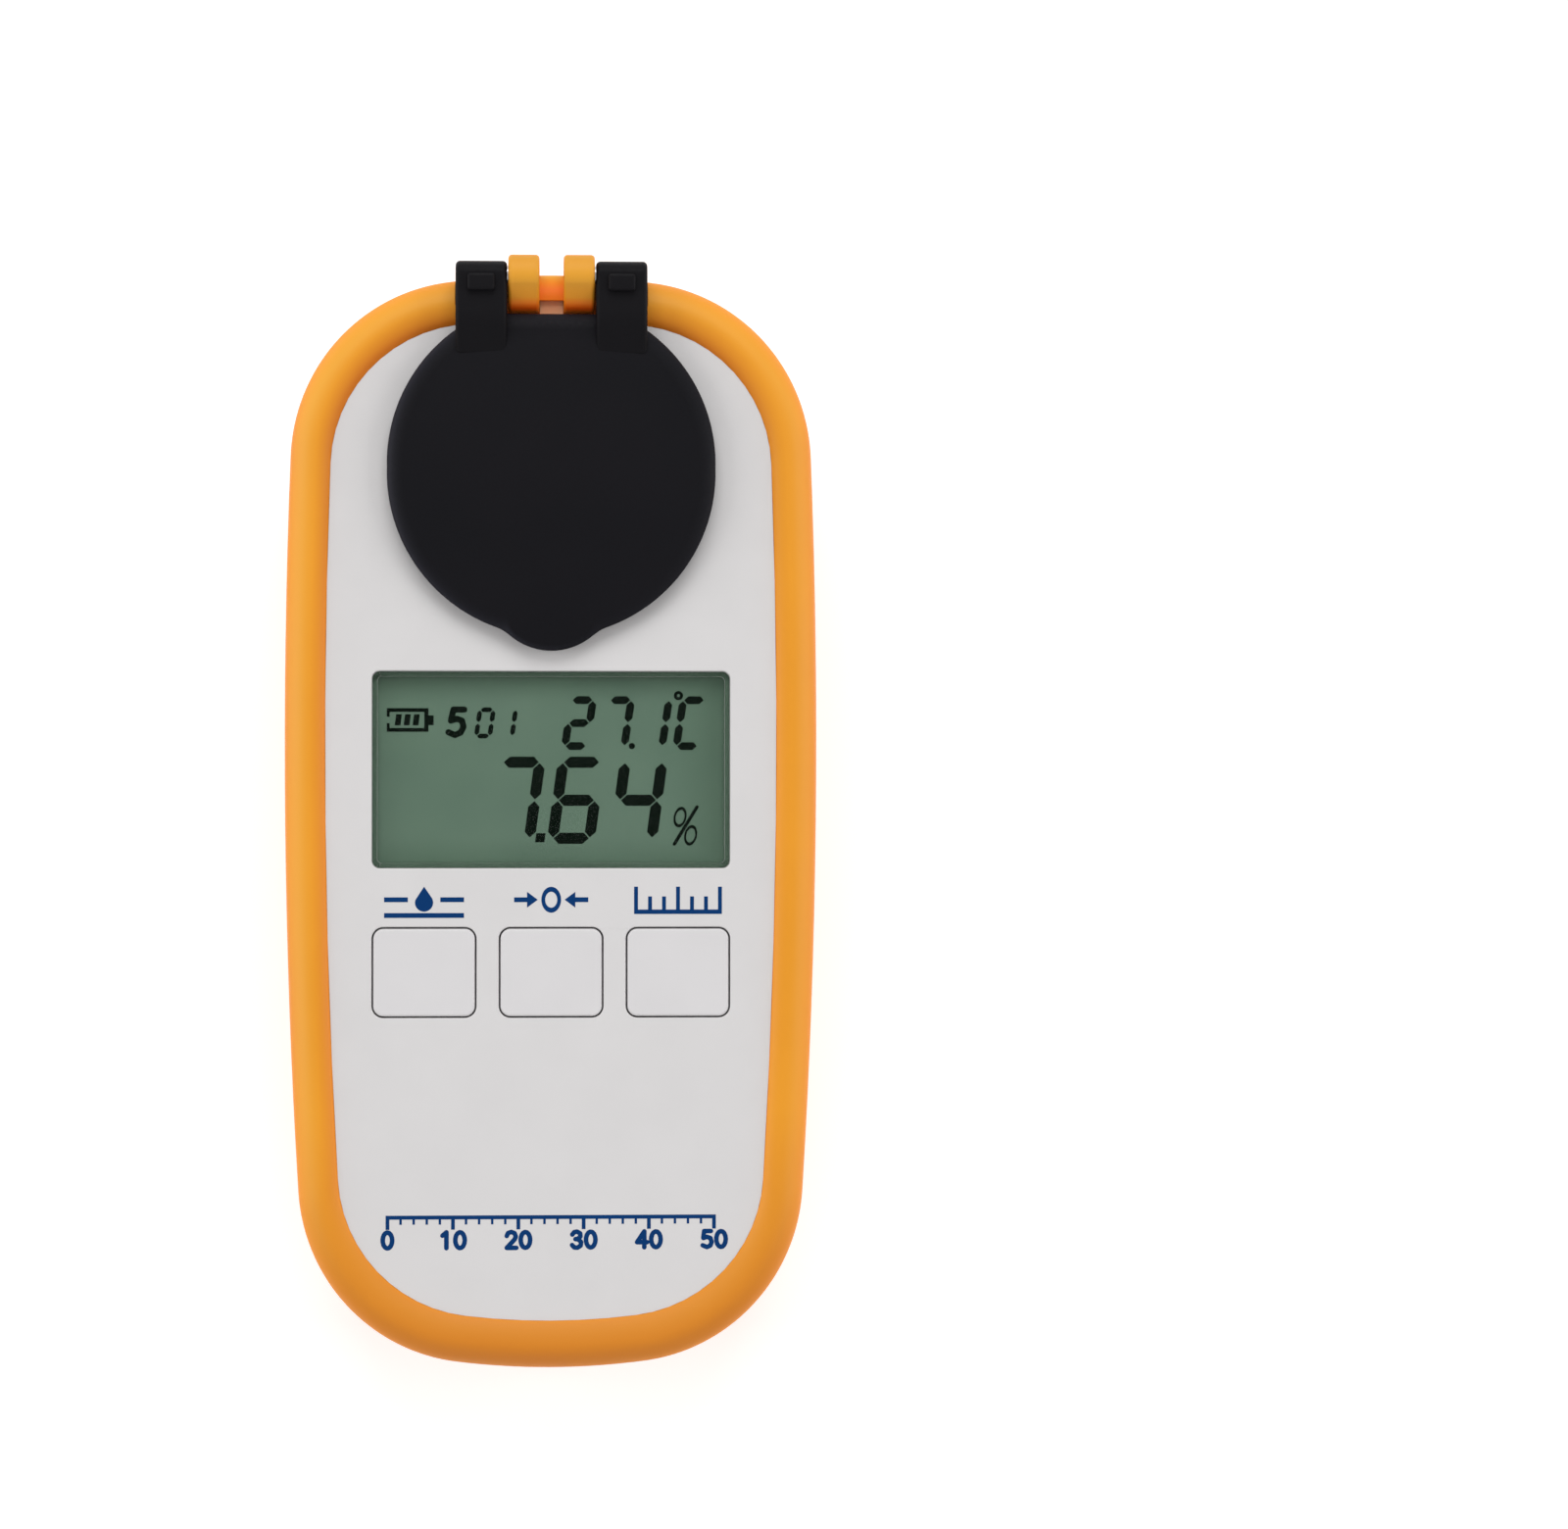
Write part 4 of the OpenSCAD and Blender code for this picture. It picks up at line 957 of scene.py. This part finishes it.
sheet("panel_signs", signs, PRINT_Z, PRINT_T, INK)

SCALE_Y, SCALE_HALF = -44.9, 17.6
scale = [slab(-SCALE_HALF - 0.2, SCALE_HALF + 0.2, 1.3, 1.72)]
for k in range(26):
    x = (k / 12.5 - 1) * SCALE_HALF
    reach, half = (0.2, 0.2) if k % 5 == 0 else (0.75, 0.13)
    scale.append(slab(x - half, x + half, reach, 1.35))
for k in range(6):
    scale += number(str(10 * k), (k / 2.5 - 1) * SCALE_HALF, -1.85, 1.22, 0.5)
sheet("panel_scale", placed(scale, 0, SCALE_Y), PRINT_Z, PRINT_T, INK)


# ---- sample dish ----
RIM_IN, RIM_OUT, SEAT_Z, NECK_Z = 14.6, BOWL.half.x, PANEL - 0.8, BOWL.low.z
NECK_R = RIM_OUT - 3.1
# (radius, height) round the section: bowl, rolled rim, outside, underside and neck
DISH = [(6.0, CREST - 2.7), (RIM_IN, CREST - 0.1), (RIM_IN + 0.08, CREST - 0.04),
        (RIM_IN + 0.25, CREST), (RIM_OUT - 0.25, CREST), (RIM_OUT - 0.08, CREST - 0.08),
        (RIM_OUT, CREST - 0.25), (RIM_OUT, SEAT_Z), (NECK_R, SEAT_Z), (NECK_R, NECK_Z),
        (7.2, NECK_Z), (7.2, NECK_Z + 0.3), (6.0, NECK_Z + 0.3)]
dish = lathe("dish_bowl", DISH, (0, DISH_Y), 144)
finish_piece(dish, "base", STEEL, 30, ["sample_dish"])

# ---- materials on the CAD nodes that stay ----
node_slot = {row["node"]: row["material_slot"] for row in frame["record"]["subparts"]}
for name, node in CAD.items():
    node.data.materials.clear()
    node.data.materials.append(MATERIALS[node_slot[name]])

# ---- floor, light and camera ----
floor = solid("floor", [(-3, -3, 0), (3, -3, 0), (3, 3, 0), (-3, 3, 0)], [(0, 1, 2, 3)])
g = Graph("floor_paper")
rays = g.add("ShaderNodeLightPath").outputs
seen = g.math("MAXIMUM", rays["Is Camera Ray"],
              g.math("MAXIMUM", rays["Is Glossy Ray"], rays["Is Transmission Ray"]))
paper = g.ramp(g.noise(3, 2), [(0.3, (0.78, 0.78, 0.78)), (0.7, (0.8, 0.8, 0.8))])
shader = g.add("ShaderNodeBsdfDiffuse", {"Color": paper})
far = g.add("ShaderNodeVectorMath", {0: g.place}, operation="LENGTH").outputs["Value"]
glow = g.add("ShaderNodeEmission",
             {"Strength": g.times(seen, g.remap(far, 0.3, 1.5, 0.52, 0.85))})
total = g.add("ShaderNodeAddShader", {0: shader.outputs[0], 1: glow.outputs[0]})
g.feed(g.output.inputs["Surface"], total.outputs[0])
floor.data.materials.append(g.material)

scene = bpy.context.scene
world = bpy.data.worlds.new("studio")
world.use_nodes = True
nodes, links = world.node_tree.nodes, world.node_tree.links
rays = nodes.new("ShaderNodeLightPath").outputs
seen = rays["Is Camera Ray"]
for kind in ("Is Glossy Ray", "Is Transmission Ray"):
    either = nodes.new("ShaderNodeMath")
    either.operation = "MAXIMUM"
    links.new(seen, either.inputs[0])
    links.new(rays[kind], either.inputs[1])
    seen = either.outputs[0]
strength = nodes.new("ShaderNodeMapRange")
strength.inputs["To Min"].default_value = 0.38
strength.inputs["To Max"].default_value = 1.0
links.new(seen, strength.inputs["Value"])
sky = nodes["Background"]
sky.inputs["Color"].default_value = (1, 1, 1, 1)
links.new(strength.outputs[0], sky.inputs["Strength"])
scene.world = world


def lamp(name, place, size, power):
    """A soft rectangular light aimed at the origin."""
    data = bpy.data.lights.new(name, "AREA")
    data.shape = "RECTANGLE"
    data.size, data.size_y = size
    data.energy = power
    obj = bpy.data.objects.new(name, data)
    obj.location = place
    obj.rotation_mode = "QUATERNION"
    obj.rotation_quaternion = (-Vector(place)).to_track_quat("-Z", "Y")
    scene.collection.objects.link(obj)


lamp("top_light", (0.0, 1.1, 1.05), (1.2, 0.8), 10.5)
lamp("left_light", (-1.25, 0.1, 0.55), (0.7, 1.2), 7.5)
lamp("right_light", (1.25, 0.1, 0.55), (0.7, 1.2), 7)
lamp("foot_light", (0.0, -1.3, 0.6), (1.2, 0.7), 2.1)

camera = bpy.data.cameras.new("camera")
camera.sensor_width, camera.lens = 36, 106.1
camera.clip_start, camera.clip_end = 0.05, 20
eye = bpy.data.objects.new("camera", camera)
eye.location = (0, -0.0006, 0.526)
eye.rotation_euler = (math.radians(0.695), math.radians(-2.883), 0)
scene.collection.objects.link(eye)
scene.camera = eye
scene.view_settings.view_transform = "Standard"
